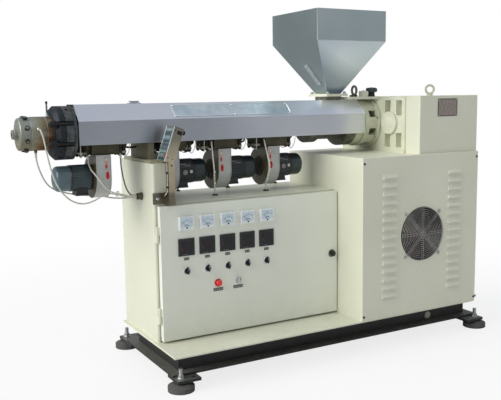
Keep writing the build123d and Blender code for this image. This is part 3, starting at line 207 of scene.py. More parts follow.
world = bpy.data.worlds.new("studio")
scene.world = world
world.use_nodes = True
sky = world.node_tree
sky.nodes.clear()
rays = sky.nodes.new("ShaderNodeLightPath")
seen = sky.nodes.new("ShaderNodeMath")
seen.operation = "MAXIMUM"
sky.links.new(rays.outputs["Is Camera Ray"], seen.inputs[0])
sky.links.new(rays.outputs["Is Transmission Ray"], seen.inputs[1])
fill = sky.nodes.new("ShaderNodeBackground")
fill.inputs["Color"].default_value = (0.93, 0.97, 1.0, 1)
white = sky.nodes.new("ShaderNodeBackground")
white.inputs["Color"].default_value = (1, 1, 1, 1)
mirrored = sky.nodes.new("ShaderNodeBackground")
mirrored.inputs["Color"].default_value = (0.9, 0.94, 1.0, 1)
direction = sky.nodes.new("ShaderNodeTexCoord")
split = sky.nodes.new("ShaderNodeSeparateXYZ")
sky.links.new(direction.outputs["Object"], split.inputs[0])


def sky_ramp(axis, first, last, low, high):
    """A smooth change of strength as a direction turns along one axis of the sky."""
    ramp = sky.nodes.new("ShaderNodeMapRange")
    ramp.interpolation_type = "SMOOTHSTEP"
    span = {"From Min": first, "From Max": last, "To Min": low, "To Max": high}
    for socket, value in span.items():
        ramp.inputs[socket].default_value = value
    sky.links.new(split.outputs[axis], ramp.inputs["Value"])
    return ramp.outputs["Result"]


def both(first, second, strength):
    """The product of two ramps, as a background's strength."""
    product = sky.nodes.new("ShaderNodeMath")
    product.operation = "MULTIPLY"
    sky.links.new(first, product.inputs[0])
    sky.links.new(second, product.inputs[1])
    sky.links.new(product.outputs[0], strength)


both(
    sky_ramp("Z", -0.3, 1.0, 0.18, 0.76),
    sky_ramp("Y", -0.6, 0.7, 0.75, 1.0), fill.inputs["Strength"],
)
both(
    sky_ramp("Z", -0.2, 0.8, 0.42, 0.66),
    sky_ramp("Y", -0.6, 0.7, 1.0, 0.74), mirrored.inputs["Strength"],
)
for_gloss = sky.nodes.new("ShaderNodeMixShader")
for_camera = sky.nodes.new("ShaderNodeMixShader")
out = sky.nodes.new("ShaderNodeOutputWorld")
sky.links.new(rays.outputs["Is Glossy Ray"], for_gloss.inputs[0])
sky.links.new(fill.outputs[0], for_gloss.inputs[1])
sky.links.new(mirrored.outputs[0], for_gloss.inputs[2])
sky.links.new(seen.outputs[0], for_camera.inputs[0])
sky.links.new(for_gloss.outputs[0], for_camera.inputs[1])
sky.links.new(white.outputs[0], for_camera.inputs[2])
sky.links.new(for_camera.outputs[0], out.inputs[0])


def lamp_towards(name, direction, strength, width, tone):
    """A sun lamp that shines from the given direction, with its width in degrees."""
    light = bpy.data.lights.new(name, "SUN")
    light.energy, light.angle, light.color = strength, math.radians(width), tone
    lamp = bpy.data.objects.new(name, light)
    scene.collection.objects.link(lamp)
    lamp.rotation_mode = "QUATERNION"
    lamp.rotation_quaternion = Vector(direction).to_track_quat("Z", "Y")
    print(name, strength)


lamp_towards("daylight", (-0.9, 0.02, 0.54), 2.35, 46, (1.0, 0.985, 0.93))

# %% [markdown]
# The floor is one pale plane. Near the machine it holds a faint shadow; further out it turns to
# white light, so no horizon shows behind the machine. Bright metal mirrors a greyer floor, as a
# workshop has.

# %% Floor
slab = bmesh.new()
bmesh.ops.create_grid(slab, x_segments=1, y_segments=1, size=30)
floor_mesh = bpy.data.meshes.new("floor")
slab.to_mesh(floor_mesh)
slab.free()
floor = bpy.data.objects.new("floor", floor_mesh)
scene.collection.objects.link(floor)

floor_finish = bpy.data.materials.new("pale_floor")
floor_finish.use_nodes = True
tree = floor_finish.node_tree
tree.nodes.clear()
places = tree.nodes.new("ShaderNodeTexCoord")
distance = tree.nodes.new("ShaderNodeVectorMath")
distance.operation = "LENGTH"
fade = tree.nodes.new("ShaderNodeMapRange")
fade.interpolation_type = "SMOOTHSTEP"
fade.inputs["From Min"].default_value = 1.1
fade.inputs["From Max"].default_value = 3.2
fade.inputs["To Min"].default_value = 0.8
matt = tree.nodes.new("ShaderNodeBsdfDiffuse")
greyer = tree.nodes.new("ShaderNodeMapRange")
greyer.inputs["To Min"].default_value = 0.84
greyer.inputs["To Max"].default_value = 0.46
glow = tree.nodes.new("ShaderNodeEmission")
glow.inputs["Strength"].default_value = 1.0
eye_rays = tree.nodes.new("ShaderNodeLightPath")
only_eye = tree.nodes.new("ShaderNodeMath")
only_eye.operation = "MULTIPLY"
blend = tree.nodes.new("ShaderNodeMixShader")
surface = tree.nodes.new("ShaderNodeOutputMaterial")
tree.links.new(eye_rays.outputs["Is Glossy Ray"], greyer.inputs["Value"])
tree.links.new(greyer.outputs[0], matt.inputs["Color"])
tree.links.new(places.outputs["Object"], distance.inputs[0])
tree.links.new(distance.outputs["Value"], fade.inputs["Value"])
tree.links.new(fade.outputs[0], only_eye.inputs[0])
tree.links.new(eye_rays.outputs["Is Camera Ray"], only_eye.inputs[1])
tree.links.new(only_eye.outputs[0], blend.inputs[0])
tree.links.new(matt.outputs[0], blend.inputs[1])
tree.links.new(glow.outputs[0], blend.inputs[2])
tree.links.new(blend.outputs[0], surface.inputs[0])
floor_mesh.materials.append(floor_finish)

# %% [markdown]
# Finishes come next. Each one is a small node tree that reads Object coordinates, so the pattern
# stays on the piece from every side and has its real size. A colour is written as it looks on a
# screen, from 0 to 255, and turned into the linear value that a shader wants.

# %% Helpers for finishes
finishes = {}


def colour(red, green, blue):
    """A screen colour as the linear one that shaders take."""
    linear = []
    for part in (red, green, blue):
        part = part / 255
        linear.append(part / 12.92 if part <= 0.04045 else ((part + 0.055) / 1.055) ** 2.4)
    return (*linear, 1)


def new_finish(name, metallic=0.0, roughness=0.5, **sockets):
    """A material with one Principled shader: its node tree and the shader."""
    finish = bpy.data.materials.new(name)
    finish.use_nodes = True
    shader = finish.node_tree.nodes["Principled BSDF"]
    shader.inputs["Metallic"].default_value = metallic
    shader.inputs["Roughness"].default_value = roughness
    for socket, value in sockets.items():
        shader.inputs[socket.replace("_", " ")].default_value = value
    finishes[name] = finish
    return finish.node_tree, shader


def spot(tree, stretch=(1, 1, 1)):
    """Object coordinates in metres, stretched for grain that runs one way."""
    where = tree.nodes.new("ShaderNodeTexCoord")
    scale = tree.nodes.new("ShaderNodeMapping")
    scale.inputs["Scale"].default_value = stretch
    tree.links.new(where.outputs["Object"], scale.inputs["Vector"])
    return scale.outputs["Vector"]


def cloud(tree, where, size, detail=3.0, rough=0.55):
    """Soft noise whose blots are about size metres across."""
    noise = tree.nodes.new("ShaderNodeTexNoise")
    noise.inputs["Scale"].default_value = 1 / size
    noise.inputs["Detail"].default_value = detail
    noise.inputs["Roughness"].default_value = rough
    tree.links.new(where, noise.inputs["Vector"])
    return noise.outputs["Fac"]


def shades(tree, amount, *stops):
    """Colours along a ramp: each stop is a place from 0 to 1 and a colour."""
    ramp = tree.nodes.new("ShaderNodeValToRGB")
    elements = ramp.color_ramp.elements
    while len(elements) < len(stops):
        elements.new(0.5)
    for element, (place, tone) in zip(elements, stops):
        element.position = place
        element.color = tone
    tree.links.new(amount, ramp.inputs["Fac"])
    return ramp.outputs["Color"]


def spread(tree, amount, low, high, before=(0.3, 0.7)):
    """A number that runs from low to high as the amount crosses the middle of its range."""
    span = tree.nodes.new("ShaderNodeMapRange")
    span.inputs["From Min"].default_value = before[0]
    span.inputs["From Max"].default_value = before[1]
    span.inputs["To Min"].default_value = low
    span.inputs["To Max"].default_value = high
    tree.links.new(amount, span.inputs["Value"])
    return span.outputs["Result"]


def mix(tree, amount, first, second, way="MIX"):
    """One colour over another by an amount."""
    node = tree.nodes.new("ShaderNodeMix")
    node.data_type, node.blend_type = "RGBA", way
    for socket, value in ((0, amount), (6, first), (7, second)):
        if isinstance(value, bpy.types.NodeSocket):
            tree.links.new(value, node.inputs[socket])
        else:
            node.inputs[socket].default_value = value
    return node.outputs[2]


def relief(tree, shader, amount, depth, strength=1.0):
    """Bumps of the given depth in metres."""
    bump = tree.nodes.new("ShaderNodeBump")
    bump.inputs["Distance"].default_value = depth
    bump.inputs["Strength"].default_value = strength
    tree.links.new(amount, bump.inputs["Height"])
    tree.links.new(bump.outputs["Normal"], shader.inputs["Normal"])


def axes(tree, vector):
    """The X, Y and Z of a place or a direction."""
    parts = tree.nodes.new("ShaderNodeSeparateXYZ")
    tree.links.new(vector, parts.inputs[0])
    return parts.outputs


def looks_along(tree):
    """The X, Y and Z of the way that a face looks."""
    return axes(tree, tree.nodes.new("ShaderNodeNewGeometry").outputs["Normal"])


def reckon(tree, way, *values):
    """One step of arithmetic on numbers that may come from other nodes."""
    step = tree.nodes.new("ShaderNodeMath")
    step.operation = way
    for socket, value in zip(step.inputs, values):
        if isinstance(value, bpy.types.NodeSocket):
            tree.links.new(value, socket)
        else:
            socket.default_value = value
    return step.outputs[0]


def edges(tree, radius):
    """From 0 on a flat to 1 on an outer edge: the bevelled normal leaves the true one there."""
    soft = tree.nodes.new("ShaderNodeBevel")
    soft.samples = 4
    soft.inputs["Radius"].default_value = radius
    true = tree.nodes.new("ShaderNodeNewGeometry")
    likeness = tree.nodes.new("ShaderNodeVectorMath")
    likeness.operation = "DOT_PRODUCT"
    tree.links.new(soft.outputs["Normal"], likeness.inputs[0])
    tree.links.new(true.outputs["True Normal"], likeness.inputs[1])
    return spread(tree, likeness.outputs["Value"], 1.0, 0.0, (0.8, 0.99))


def paler(tone, by):
    """A screen colour made lighter by so many steps, for a rubbed edge."""
    return colour(*[min(255, part + by) for part in tone])


def repaint(name):
    """A finish's tree, the colour that it has so far, and the socket that takes a new one."""
    tree = finishes[name].node_tree
    socket = tree.nodes["Principled BSDF"].inputs["Base Color"]
    return tree, socket.links[0].from_socket, socket


# %% [markdown]
# Most of the machine is sheet steel in cream stoving enamel. Real enamel is never one colour: it
# clouds a little over a big panel, has a very fine orange peel, goes brown with handling low down
# and shows a paler, rubbed line along its folds. The door's enamel is a lighter, bluer copy of the
# cream: painted light, for the stronger light that falls on the door.

# %% Cream enamel


def enamel(name, dark, light):
    """Stoving enamel in two near tones."""
    tree, shader = new_finish(name, roughness=0.38, Coat_Weight=0.12, Coat_Roughness=0.25)
    where = spot(tree)
    base = shades(tree, cloud(tree, where, 0.4), (0.3, colour(*dark)), (0.7, colour(*light)))
    dust = cloud(tree, where, 0.06, 6, 0.7)
    low_down = spread(tree, axes(tree, where)["Z"], 0.5, 0.0, (0.13, 0.3))
    dirty = reckon(tree, "MULTIPLY", low_down, spread(tree, dust, 0.0, 0.5, (0.45, 0.75)))
    base = mix(tree, dirty, base, colour(176, 170, 142))
    rubbed = mix(tree, edges(tree, 0.0025), base, paler(light, 11))
    tree.links.new(rubbed, shader.inputs["Base Color"])
    tree.links.new(spread(tree, dust, 0.33, 0.45), shader.inputs["Roughness"])
    relief(tree, shader, cloud(tree, where, 0.0016, 1), 0.00004, 0.5)


enamel("cream_enamel", (219, 220, 201), (227, 228, 210))
# Painted light: the door's copy of the enamel is lighter and bluer, for the stronger light on it.
enamel("door_enamel_painted_light", (231, 234, 222), (238, 241, 230))
print("enamels ready")

# %% [markdown]
# The gearbox and the bell housing wear the same colour brushed over rough castings, so the paint
# there is lumpier. The bell housing's copy is darker: painted shade, for the shadow of the feed
# plate and the gearbox on it. Of the two lifting eyes, the one by the hopper has gone brown with
# grease.

# %% Cream paint on castings


def casting(name, dark, light):
    """Paint brushed over a rough casting, in two near tones."""
    tree, shader = new_finish(name, roughness=0.5)
    where = spot(tree)
    lumps = cloud(tree, where, 0.012, 4)
    blots = cloud(tree, where, 0.09, 4, 0.6)
    base = shades(tree, blots, (0.3, colour(*dark)), (0.7, colour(*light)))
    base = mix(tree, edges(tree, 0.004), base, paler(light, 10))
    tree.links.new(base, shader.inputs["Base Color"])
    tree.links.new(spread(tree, lumps, 0.42, 0.6), shader.inputs["Roughness"])
    relief(tree, shader, lumps, 0.0006, 0.45)


casting("cream_casting", (212, 214, 192), (227, 228, 209))
# Painted shade: the bell housing's copy of the casting paint is darker, for the shade that falls on
# it.
casting("bell_casting_painted_shade", (192, 195, 170), (211, 213, 191))

tree, shader = new_finish("eye_casting", roughness=0.5)
where = spot(tree)
lumps = cloud(tree, where, 0.008, 4)
painted = shades(tree, lumps, (0.3, colour(208, 210, 188)), (0.7, colour(228, 229, 209)))
greasy = shades(tree, lumps, (0.3, colour(98, 92, 76)), (0.7, colour(140, 134, 116)))
past_cap = spread(tree, axes(tree, where)["X"], 0.0, 1.0, (0.6, 0.7))
base = mix(tree, past_cap, greasy, painted)
tree.links.new(base, shader.inputs["Base Color"])
relief(tree, shader, lumps, 0.0004, 0.45)
print("castings ready")

# %% [markdown]
# The base channels are black enamel with shop dust lying on whatever faces up. The shader finds
# those faces from the Z of the surface normal, so the dust stays on them however the base is seen.

# %% Black enamel with dust
tree, shader = new_finish("black_enamel", roughness=0.4)
where = spot(tree)
specks = cloud(tree, where, 0.02, 6, 0.7)
upward = spread(tree, looks_along(tree)["Z"], 0.0, 0.75, (0.5, 1.0))
dusty = reckon(tree, "MULTIPLY", upward, spread(tree, specks, 0.45, 1.0))
base = shades(tree, specks, (0.35, colour(38, 38, 40)), (0.7, colour(54, 53, 53)))
base = mix(tree, dusty, base, colour(128, 127, 120))
base = mix(tree, spread(tree, edges(tree, 0.002), 0.0, 0.5, (0.0, 1.0)), base, colour(90, 88, 84))
tree.links.new(base, shader.inputs["Base Color"])
tree.links.new(spread(tree, specks, 0.34, 0.6), shader.inputs["Roughness"])
relief(tree, shader, cloud(tree, where, 0.003, 2), 0.0001, 0.4)
print("black enamel ready")

# %% [markdown]
# The levelling feet stand on grey rubber: matt, a little speckled, and whiter where grit sticks.

# %% Rubber and zinc
tree, shader = new_finish("grey_rubber", roughness=0.85)
where = spot(tree)
grit = cloud(tree, where, 0.004, 4, 0.75)
base = shades(
    tree, grit,
    (0.3, colour(66, 66, 66)), (0.6, colour(92, 92, 91)), (0.8, colour(130, 130, 126)),
)
tree.links.new(base, shader.inputs["Base Color"])
relief(tree, shader, grit, 0.0003, 0.6)

tree, shader = new_finish("zinc_plated", metallic=0.85, roughness=0.32)
where = spot(tree)
spangle = cloud(tree, where, 0.006, 2)
base = shades(tree, spangle, (0.35, colour(176, 182, 186)), (0.65, colour(206, 209, 206)))
tree.links.new(base, shader.inputs["Base Color"])
tree.links.new(spread(tree, spangle, 0.26, 0.42), shader.inputs["Roughness"])
print("rubber and zinc ready")

# %% [markdown]
# The barrel's cover and the hopper are brushed stainless sheet. Brushing is thousands of scratches
# along one direction, so the noise is stretched along it. Over metres the sheet also reflects
# lighter and darker parts of the room; broad, soft noise in the roughness and colour gives that.
# The arm is tan below and dark above. The hopper's cone is painted bright only near its top and
# its left faces darker: painted reflection. The cover's front is painted darker towards the die,
# and its sloping roof brighter towards the hopper: painted reflection too.

# %% Brushed stainless


def brushed(name, stretch, dark, light, blot, roughness=(0.28, 0.4), smear=0.0):
    """Stainless sheet brushed along the axis with the small stretch.

    Brushed sheet smears what it mirrors across the scratches; smear says by how much.
    """
    tree, shader = new_finish(name, metallic=0.92, roughness=0.34, Anisotropic=smear)
    grain = cloud(tree, spot(tree, stretch), 0.0012, 3, 0.6)
    room = cloud(tree, spot(tree), blot, 2, 0.5)
    sheet = shades(tree, room, (0.36, colour(*dark)), (0.62, colour(*light)))
    scratches = shades(tree, grain, (0.3, (0, 0, 0, 1)), (0.7, (1, 1, 1, 1)))
    sheet = mix(tree, 0.1, sheet, scratches, "OVERLAY")
    tree.links.new(sheet, shader.inputs["Base Color"])
    tree.links.new(spread(tree, grain, *roughness), shader.inputs["Roughness"])
    relief(tree, shader, grain, 0.00002, 0.22)
    if smear:
        true = tree.nodes.new("ShaderNodeNewGeometry")
        across = tree.nodes.new("ShaderNodeVectorMath")
        across.operation = "CROSS_PRODUCT"
        across.inputs[1].default_value = (1, 0, 0)
        tree.links.new(true.outputs["Normal"], across.inputs[0])
        tree.links.new(across.outputs["Vector"], shader.inputs["Tangent"])


brushed("cover_stainless", (0.02, 1, 1), (183, 184, 185), (194, 194, 195), 0.35, (0.3, 0.36), 0.7)
brushed("hopper_stainless", (0.03, 0.03, 1), (180, 181, 182), (196, 196, 197), 0.3)
brushed("arm_stainless", (1, 1, 0.03), (196, 180, 156), (222, 208, 184), 0.05)
brushed("plate_aluminium", (0.05, 1, 1), (214, 222, 230), (234, 239, 244), 0.08)
brushed("strip_field", (0.05, 1, 1), (192, 210, 222), (220, 229, 235), 0.06)

arm, plain, socket = repaint("arm_stainless")
shaded = shades(
    arm, spread(arm, axes(arm, spot(arm))["Z"], 0.0, 1.0, (0.72, 1.02)),
    (0.13, colour(84, 84, 74)), (0.17, colour(190, 172, 148)), (0.58, colour(222, 208, 180)),
    (0.72, colour(176, 172, 150)), (0.84, colour(104, 110, 100)),
)
arm.links.new(mix(arm, 0.7, plain, shaded), socket)

# Painted reflection: the cover's front is darker towards the die, and its sloping roof brighter
# towards the hopper.
cover, grain, socket = repaint("cover_stainless")
along = axes(cover, spot(cover))["X"]
painted_front_reflection = mix(
    cover, spread(cover, along, 0.0, 1.0, (-0.31, -0.05)),
    colour(180, 184, 192), colour(212, 215, 224),
)
roof = mix(
    cover, spread(cover, along, 0.0, 1.0, (0.05, 0.2)),
    colour(222, 226, 236), colour(244, 248, 255),
)
forward_face = spread(cover, looks_along(cover)["Y"], 1.0, 0.0, (-0.95, -0.85))
sheet = mix(cover, forward_face, roof, painted_front_reflection)
cover.links.new(mix(cover, 0.8, sheet, grain, "OVERLAY"), socket)

# Painted reflection: the hopper's cone is brighter near its top, and its left faces are darker.
hopper, grain, socket = repaint("hopper_stainless")
where = axes(hopper, spot(hopper))
slant = reckon(hopper, "MULTIPLY_ADD", where["X"], 0.4, where["Z"])
painted_cone_reflection = shades(
    hopper, spread(hopper, slant, 0.0, 1.0, (1.25, 1.55)),
    (0.12, colour(148, 160, 179)), (0.34, colour(166, 178, 198)), (0.62, colour(226, 236, 254)),
)
box = spread(hopper, where["Z"], 0.0, 1.0, (1.364, 1.368))
front = mix(hopper, box, painted_cone_reflection, colour(187, 199, 200))
leftward = spread(hopper, looks_along(hopper)["X"], 1.0, 0.0, (-0.8, -0.4))
left = mix(hopper, box, colour(164, 176, 180), colour(165, 177, 179))
sheet = mix(hopper, leftward, front, left)
hopper.links.new(mix(hopper, 0.8, sheet, grain, "OVERLAY"), socket)
print("stainless ready")

# %% [markdown]
# The die end runs hot, and bare steel there has gone straw, brown and rusty in blotches. The
# clamp rings are the darkest: oiled black iron, worn bright only on their corners.

# %% Hot steel and black iron
tree, shader = new_finish("heat_tinted_steel", metallic=0.7, roughness=0.42)
where = spot(tree)
blots = cloud(tree, where, 0.035, 5, 0.62)
place = axes(tree, where)
rearward = spread(tree, place["X"], 0.0, 0.34, (-1.03, -0.93))
downward = spread(tree, place["Z"], 0.22, 0.0, (0.95, 1.03))
rust = reckon(tree, "ADD", rearward, downward)
base = shades(
    tree, reckon(tree, "MULTIPLY_ADD", blots, 0.6, rust),
    (0.36, colour(160, 164, 154)), (0.56, colour(150, 142, 118)),
    (0.70, colour(138, 104, 70)), (0.84, colour(96, 62, 42)),
)
# Painted highlight: the die's edges are made a bright, bluish steel, for the light that they catch.
base = mix(tree, edges(tree, 0.0018), base, colour(196, 204, 206))
tree.links.new(base, shader.inputs["Base Color"])
tree.links.new(spread(tree, blots, 0.34, 0.62), shader.inputs["Roughness"])
relief(tree, shader, cloud(tree, where, 0.0025, 3), 0.0001, 0.4)

tree, shader = new_finish("black_iron", metallic=0.35, roughness=0.45)
where = spot(tree)
oil = cloud(tree, where, 0.02, 5, 0.65)
base = shades(tree, oil, (0.35, colour(24, 26, 26)), (0.7, colour(44, 45, 43)))
rubbed = spread(tree, edges(tree, 0.0015), 0.0, 0.6, (0.0, 1.0))
base = mix(tree, rubbed, base, colour(100, 104, 104))
tree.links.new(base, shader.inputs["Base Color"])
tree.links.new(spread(tree, oil, 0.34, 0.6), shader.inputs["Roughness"])
relief(tree, shader, cloud(tree, where, 0.003, 3), 0.00015, 0.4)
print("hot steel and black iron ready")

# %% [markdown]
# Under the cover are the plain working metals: the nitrided barrel, cast aluminium heater bands
# gone brown, and the dull sheet of the air ducts. They share one recipe with their own colours.
# The foot of the barrel's support is chalky with old paint.

# %% Dull working metals


def dull_metal(name, dark, middle, light, blot=0.03, metallic=0.6, lump=0.003):
    """Unpainted metal that is stained in three tones."""
    tree, shader = new_finish(name, metallic=metallic, roughness=0.55)
    where = spot(tree)
    stain = cloud(tree, where, blot, 5, 0.65)
    base = shades(
        tree, stain, (0.3, colour(*dark)), (0.52, colour(*middle)), (0.75, colour(*light))
    )
    tree.links.new(base, shader.inputs["Base Color"])
    tree.links.new(spread(tree, stain, 0.45, 0.68), shader.inputs["Roughness"])
    relief(tree, shader, cloud(tree, where, lump, 3), 0.0002, 0.4)


dull_metal("nitrided_barrel", (92, 92, 82), (120, 120, 108), (146, 146, 134))
dull_metal("cast_heater", (50, 47, 38), (76, 72, 58), (112, 107, 90))
dull_metal("duct_steel", (74, 71, 55), (94, 90, 72), (116, 112, 94), 0.05)
dull_metal("probe_steel", (98, 104, 104), (126, 133, 133), (150, 158, 158), 0.02)
dull_metal("support_steel", (108, 104, 86), (128, 123, 102), (150, 145, 124), 0.05)
dull_metal("brown_bracket", (96, 84, 70), (132, 118, 98), (160, 148, 130), 0.02)
dull_metal("louvre_mouth_shadow", (62, 62, 52), (80, 80, 68), (104, 104, 90), 0.01, 0.2)
dull_metal("scroll_side", (46, 43, 29), (62, 58, 40), (84, 79, 58), 0.03, 0.3)
dull_metal("dark_fitting", (38, 38, 38), (56, 55, 52), (84, 82, 76), 0.01, 0.4)
dull_metal("gland_metal", (70, 66, 54), (96, 92, 78), (140, 136, 120), 0.006, 0.5)
dull_metal("guard_wire", (158, 156, 152), (186, 184, 180), (212, 210, 206), 0.01, 0.7)
dull_metal("clamp_blue", (24, 28, 33), (36, 42, 49), (58, 66, 73), 0.025, 0.4)
dull_metal("clamp_grey", (58, 62, 64), (80, 84, 86), (112, 116, 116), 0.025, 0.4)
dull_metal("weld_bright", (176, 186, 190), (200, 208, 210), (224, 228, 228), 0.01, 0.7, 0.002)

support, plain, socket = repaint("support_steel")
foot_top = 0.886
where = spot(support)
foot = spread(support, axes(support, where)["Z"], 1.0, 0.0, (foot_top + 0.0002, foot_top + 0.0012))
chalky = shades(
    support, cloud(support, where, 0.04, 4),
    (0.3, colour(176, 174, 150)), (0.7, colour(204, 202, 178)),
)
support.links.new(mix(support, foot, plain, chalky), socket)
print("working metals ready")

# %% [markdown]
# The blowers are painted: grey hammered scrolls, and motors in a blue-green so dark that it looks
# black in the shade. The three motors in shade get a darker copy of that paint, painted shade;
# only the first motor, in full daylight, wears the lighter one. The scrolls' side plates that look
# at the die are painted darker and browner, grime and painted shade, which the shader finds from
# the surface normal.

# %% Blower paints


def gloss_paint(name, dark, light, roughness, lump, depth, worn=0.35):
    """Machine paint with soft clouds and small lumps; worn says how bright its edges are rubbed."""
    tree, shader = new_finish(name, roughness=roughness, Coat_Weight=0.3, Coat_Roughness=0.2)
    where = spot(tree)
    base = shades(tree, cloud(tree, where, 0.05, 4), (0.3, colour(*dark)), (0.7, colour(*light)))
    rub = spread(tree, edges(tree, 0.0015), 0.0, worn, (0.0, 1.0))
    base = mix(tree, rub, base, paler(light, 60))
    tree.links.new(base, shader.inputs["Base Color"])
    relief(tree, shader, cloud(tree, where, lump, 2), depth, 0.5)


gloss_paint("scroll_grey", (168, 171, 170), (186, 189, 187), 0.4, 0.004, 0.0002)
# Painted shade: darker copies of the motor and cowl paint, for the three motors in shade.
gloss_paint("shaded_motor_paint", (30, 38, 41), (42, 52, 56), 0.42, 0.003, 0.0001, 0.05)
gloss_paint("motor_teal", (44, 58, 62), (60, 77, 82), 0.42, 0.003, 0.0001, 0.1)
gloss_paint("cowl_teal", (74, 95, 102), (92, 114, 121), 0.3, 0.003, 0.0001)
gloss_paint("shaded_cowl_paint", (34, 46, 50), (50, 64, 68), 0.3, 0.003, 0.0001)
gloss_paint("motor_black", (26, 28, 30), (40, 42, 44), 0.42, 0.003, 0.0001)
gloss_paint("fan_brown", (56, 38, 34), (82, 58, 52), 0.4, 0.004, 0.0001)
gloss_paint("fan_frame_black", (30, 30, 31), (44, 44, 45), 0.5, 0.003, 0.0001)

# Painted shade with grime: the side plates that face the die are darker and browner.
scroll, painted, socket = repaint("scroll_grey")
die_facing_side = spread(scroll, looks_along(scroll)["X"], 1.0, 0.0, (-0.8, -0.5))
grime_and_painted_shade = shades(
    scroll, cloud(scroll, spot(scroll), 0.03, 5, 0.65),
    (0.3, colour(58, 53, 34)), (0.52, colour(78, 72, 48)), (0.75, colour(100, 94, 68)),
)
scroll.links.new(mix(scroll, die_facing_side, painted, grime_and_painted_shade), socket)
print("blower paints ready")

# %% [markdown]
# The last finishes are the small ones: plastics, lenses, printed labels, chrome and the browned
# nameplate. Even a plastic has a fine texture and a change in its gloss.

# %% Plastics and chrome


def plastic(name, tone, roughness=0.4, grain=0.0012, depth=0.00003, **sockets):
    """Moulded plastic with a fine grain and slightly uneven colour."""
    tree, shader = new_finish(name, roughness=roughness, **sockets)
    where = spot(tree)
    fine = cloud(tree, where, grain, 2)
    darker = [part * 0.95 for part in tone]
    base = shades(tree, cloud(tree, where, 0.02, 3), (0.35, colour(*darker)), (0.65, colour(*tone)))
    tree.links.new(base, shader.inputs["Base Color"])
    gloss = spread(tree, fine, roughness - 0.06, roughness + 0.1)
    tree.links.new(gloss, shader.inputs["Roughness"])
    relief(tree, shader, fine, depth, 0.5)


plastic("black_plastic", (34, 34, 36), 0.38)
plastic("black_rubber", (26, 26, 27), 0.7)
plastic("controller_black", (44, 46, 50), 0.42)
plastic("window_smoke", (30, 30, 36), 0.3, Coat_Weight=0.2, Coat_Roughness=0.15)
plastic("meter_white", (240, 244, 246), 0.22, Coat_Weight=0.5, Coat_Roughness=0.06)
plastic("meter_blue", (212, 228, 241), 0.2, Coat_Weight=0.6, Coat_Roughness=0.05)
plastic("silver_plastic", (196, 198, 200), 0.26)
plastic("label_black", (52, 52, 50), 0.5)
plastic("label_white", (224, 224, 216), 0.5)
plastic("sticker_red", (196, 44, 52), 0.35)
plastic("sticker_pink", (206, 150, 150), 0.4)
plastic("sticker_grey", (150, 140, 148), 0.45)
plastic("key_green", (96, 150, 138), 0.4)
plastic("key_grey", (126, 144, 148), 0.4)
plastic("display_glass", (52, 68, 74), 0.14, Coat_Weight=0.6, Coat_Roughness=0.05)
plastic("cap_grey", (172, 173, 162), 0.4)
plastic("white_sleeve", (226, 226, 214), 0.6)
plastic("cap_blue_black", (60, 70, 75), 0.35)
plastic("ceramic_white", (206, 204, 190), 0.5)
plastic("ceramic_grey", (150, 148, 136), 0.5)
plastic("loop_red", (150, 70, 56), 0.5)
plastic("sticker_dark", (120, 24, 30), 0.4)
plastic("plate_dark", (70, 72, 74), 0.45)
plastic("label_grey", (150, 152, 150), 0.5)
plastic("label_print", (150, 150, 146), 0.5)
plastic("print_dark", (40, 42, 48), 0.5)
plastic("keypad_panel", (84, 104, 106), 0.4)
plastic("key_dark", (84, 96, 98), 0.4)
plastic("key_night", (40, 42, 46), 0.45)
plastic("display_off", (28, 23, 25), 0.25, Coat_Weight=0.3, Coat_Roughness=0.1)
plastic("lamp_dull", (150, 60, 50), 0.3)
plastic("ring_red", (196, 44, 46), 0.3)
plastic("ring_silver", (234, 236, 238), 0.24, Metallic=0.45)
plastic(
    "red_lens", (224, 30, 34), 0.14, 0.004, 0.0002,
    Coat_Weight=1.0, Coat_Roughness=0.04, Emission_Color=colour(220, 20, 22), Emission_Strength=0.2,
)

tree, shader = new_finish("polished_chrome", metallic=1.0, roughness=0.12)
where = spot(tree)
haze = cloud(tree, where, 0.008, 3)
base = shades(tree, haze, (0.3, colour(206, 208, 210)), (0.7, colour(228, 229, 230)))
tree.links.new(base, shader.inputs["Base Color"])
tree.links.new(spread(tree, haze, 0.08, 0.2), shader.inputs["Roughness"])

tree, shader = new_finish("bare_nameplate", metallic=0.5, roughness=0.42)
where = spot(tree, (1, 1, 0.7))
base = shades(
    tree, cloud(tree, where, 0.008, 5, 0.75),
    (0.3, colour(128, 117, 110)), (0.7, colour(184, 172, 164)),
)
tree.links.new(base, shader.inputs["Base Color"])
print(len(finishes), "finishes so far")

# %% [markdown]
# A braided sleeve is two sets of threads that cross. On a curve, U runs along the cable and V
# round it, so two slanting wave patterns in those coordinates make the crossing threads, and they
# follow every bend. The number of turns comes from the cable's length.

# %% Braided sleeve


def braid(name, tone, shade_and_soil, length):
    """A woven sleeve for one cable, in its own U and V."""
    tree, shader = new_finish(name, roughness=0.75, Sheen_Weight=0.3)
    woven = tree.nodes.new("ShaderNodeTexCoord")
    threads_over = []
    for slant in (-1, 1):
        lay = tree.nodes.new("ShaderNodeMapping")
        lay.inputs["Scale"].default_value = (length / CABLE_DIAMETER, 4 * slant, 1)
        threads = tree.nodes.new("ShaderNodeTexWave")
        threads.wave_type, threads.bands_direction = "BANDS", "DIAGONAL"
        threads.inputs["Scale"].default_value = 0.6
        tree.links.new(woven.outputs["UV"], lay.inputs["Vector"])
        tree.links.new(lay.outputs["Vector"], threads.inputs["Vector"])
        threads_over.append(threads.outputs["Fac"])
    over = reckon(tree, "MAXIMUM", *threads_over)
    soiled = cloud(tree, spot(tree), 0.03, 3)
    # Painted shade: the gaps between the threads take the darker tone, which the soiled blots also
    # take as dirt.
    thread = shades(tree, over, (0.25, colour(*shade_and_soil)), (0.8, colour(*tone)))
    darker = mix(tree, spread(tree, soiled, 0.0, 0.35), thread, colour(*shade_and_soil))
    tree.links.new(darker, shader.inputs["Base Color"])
    relief(tree, shader, over, 0.0004, 0.6)
    return finishes[name]


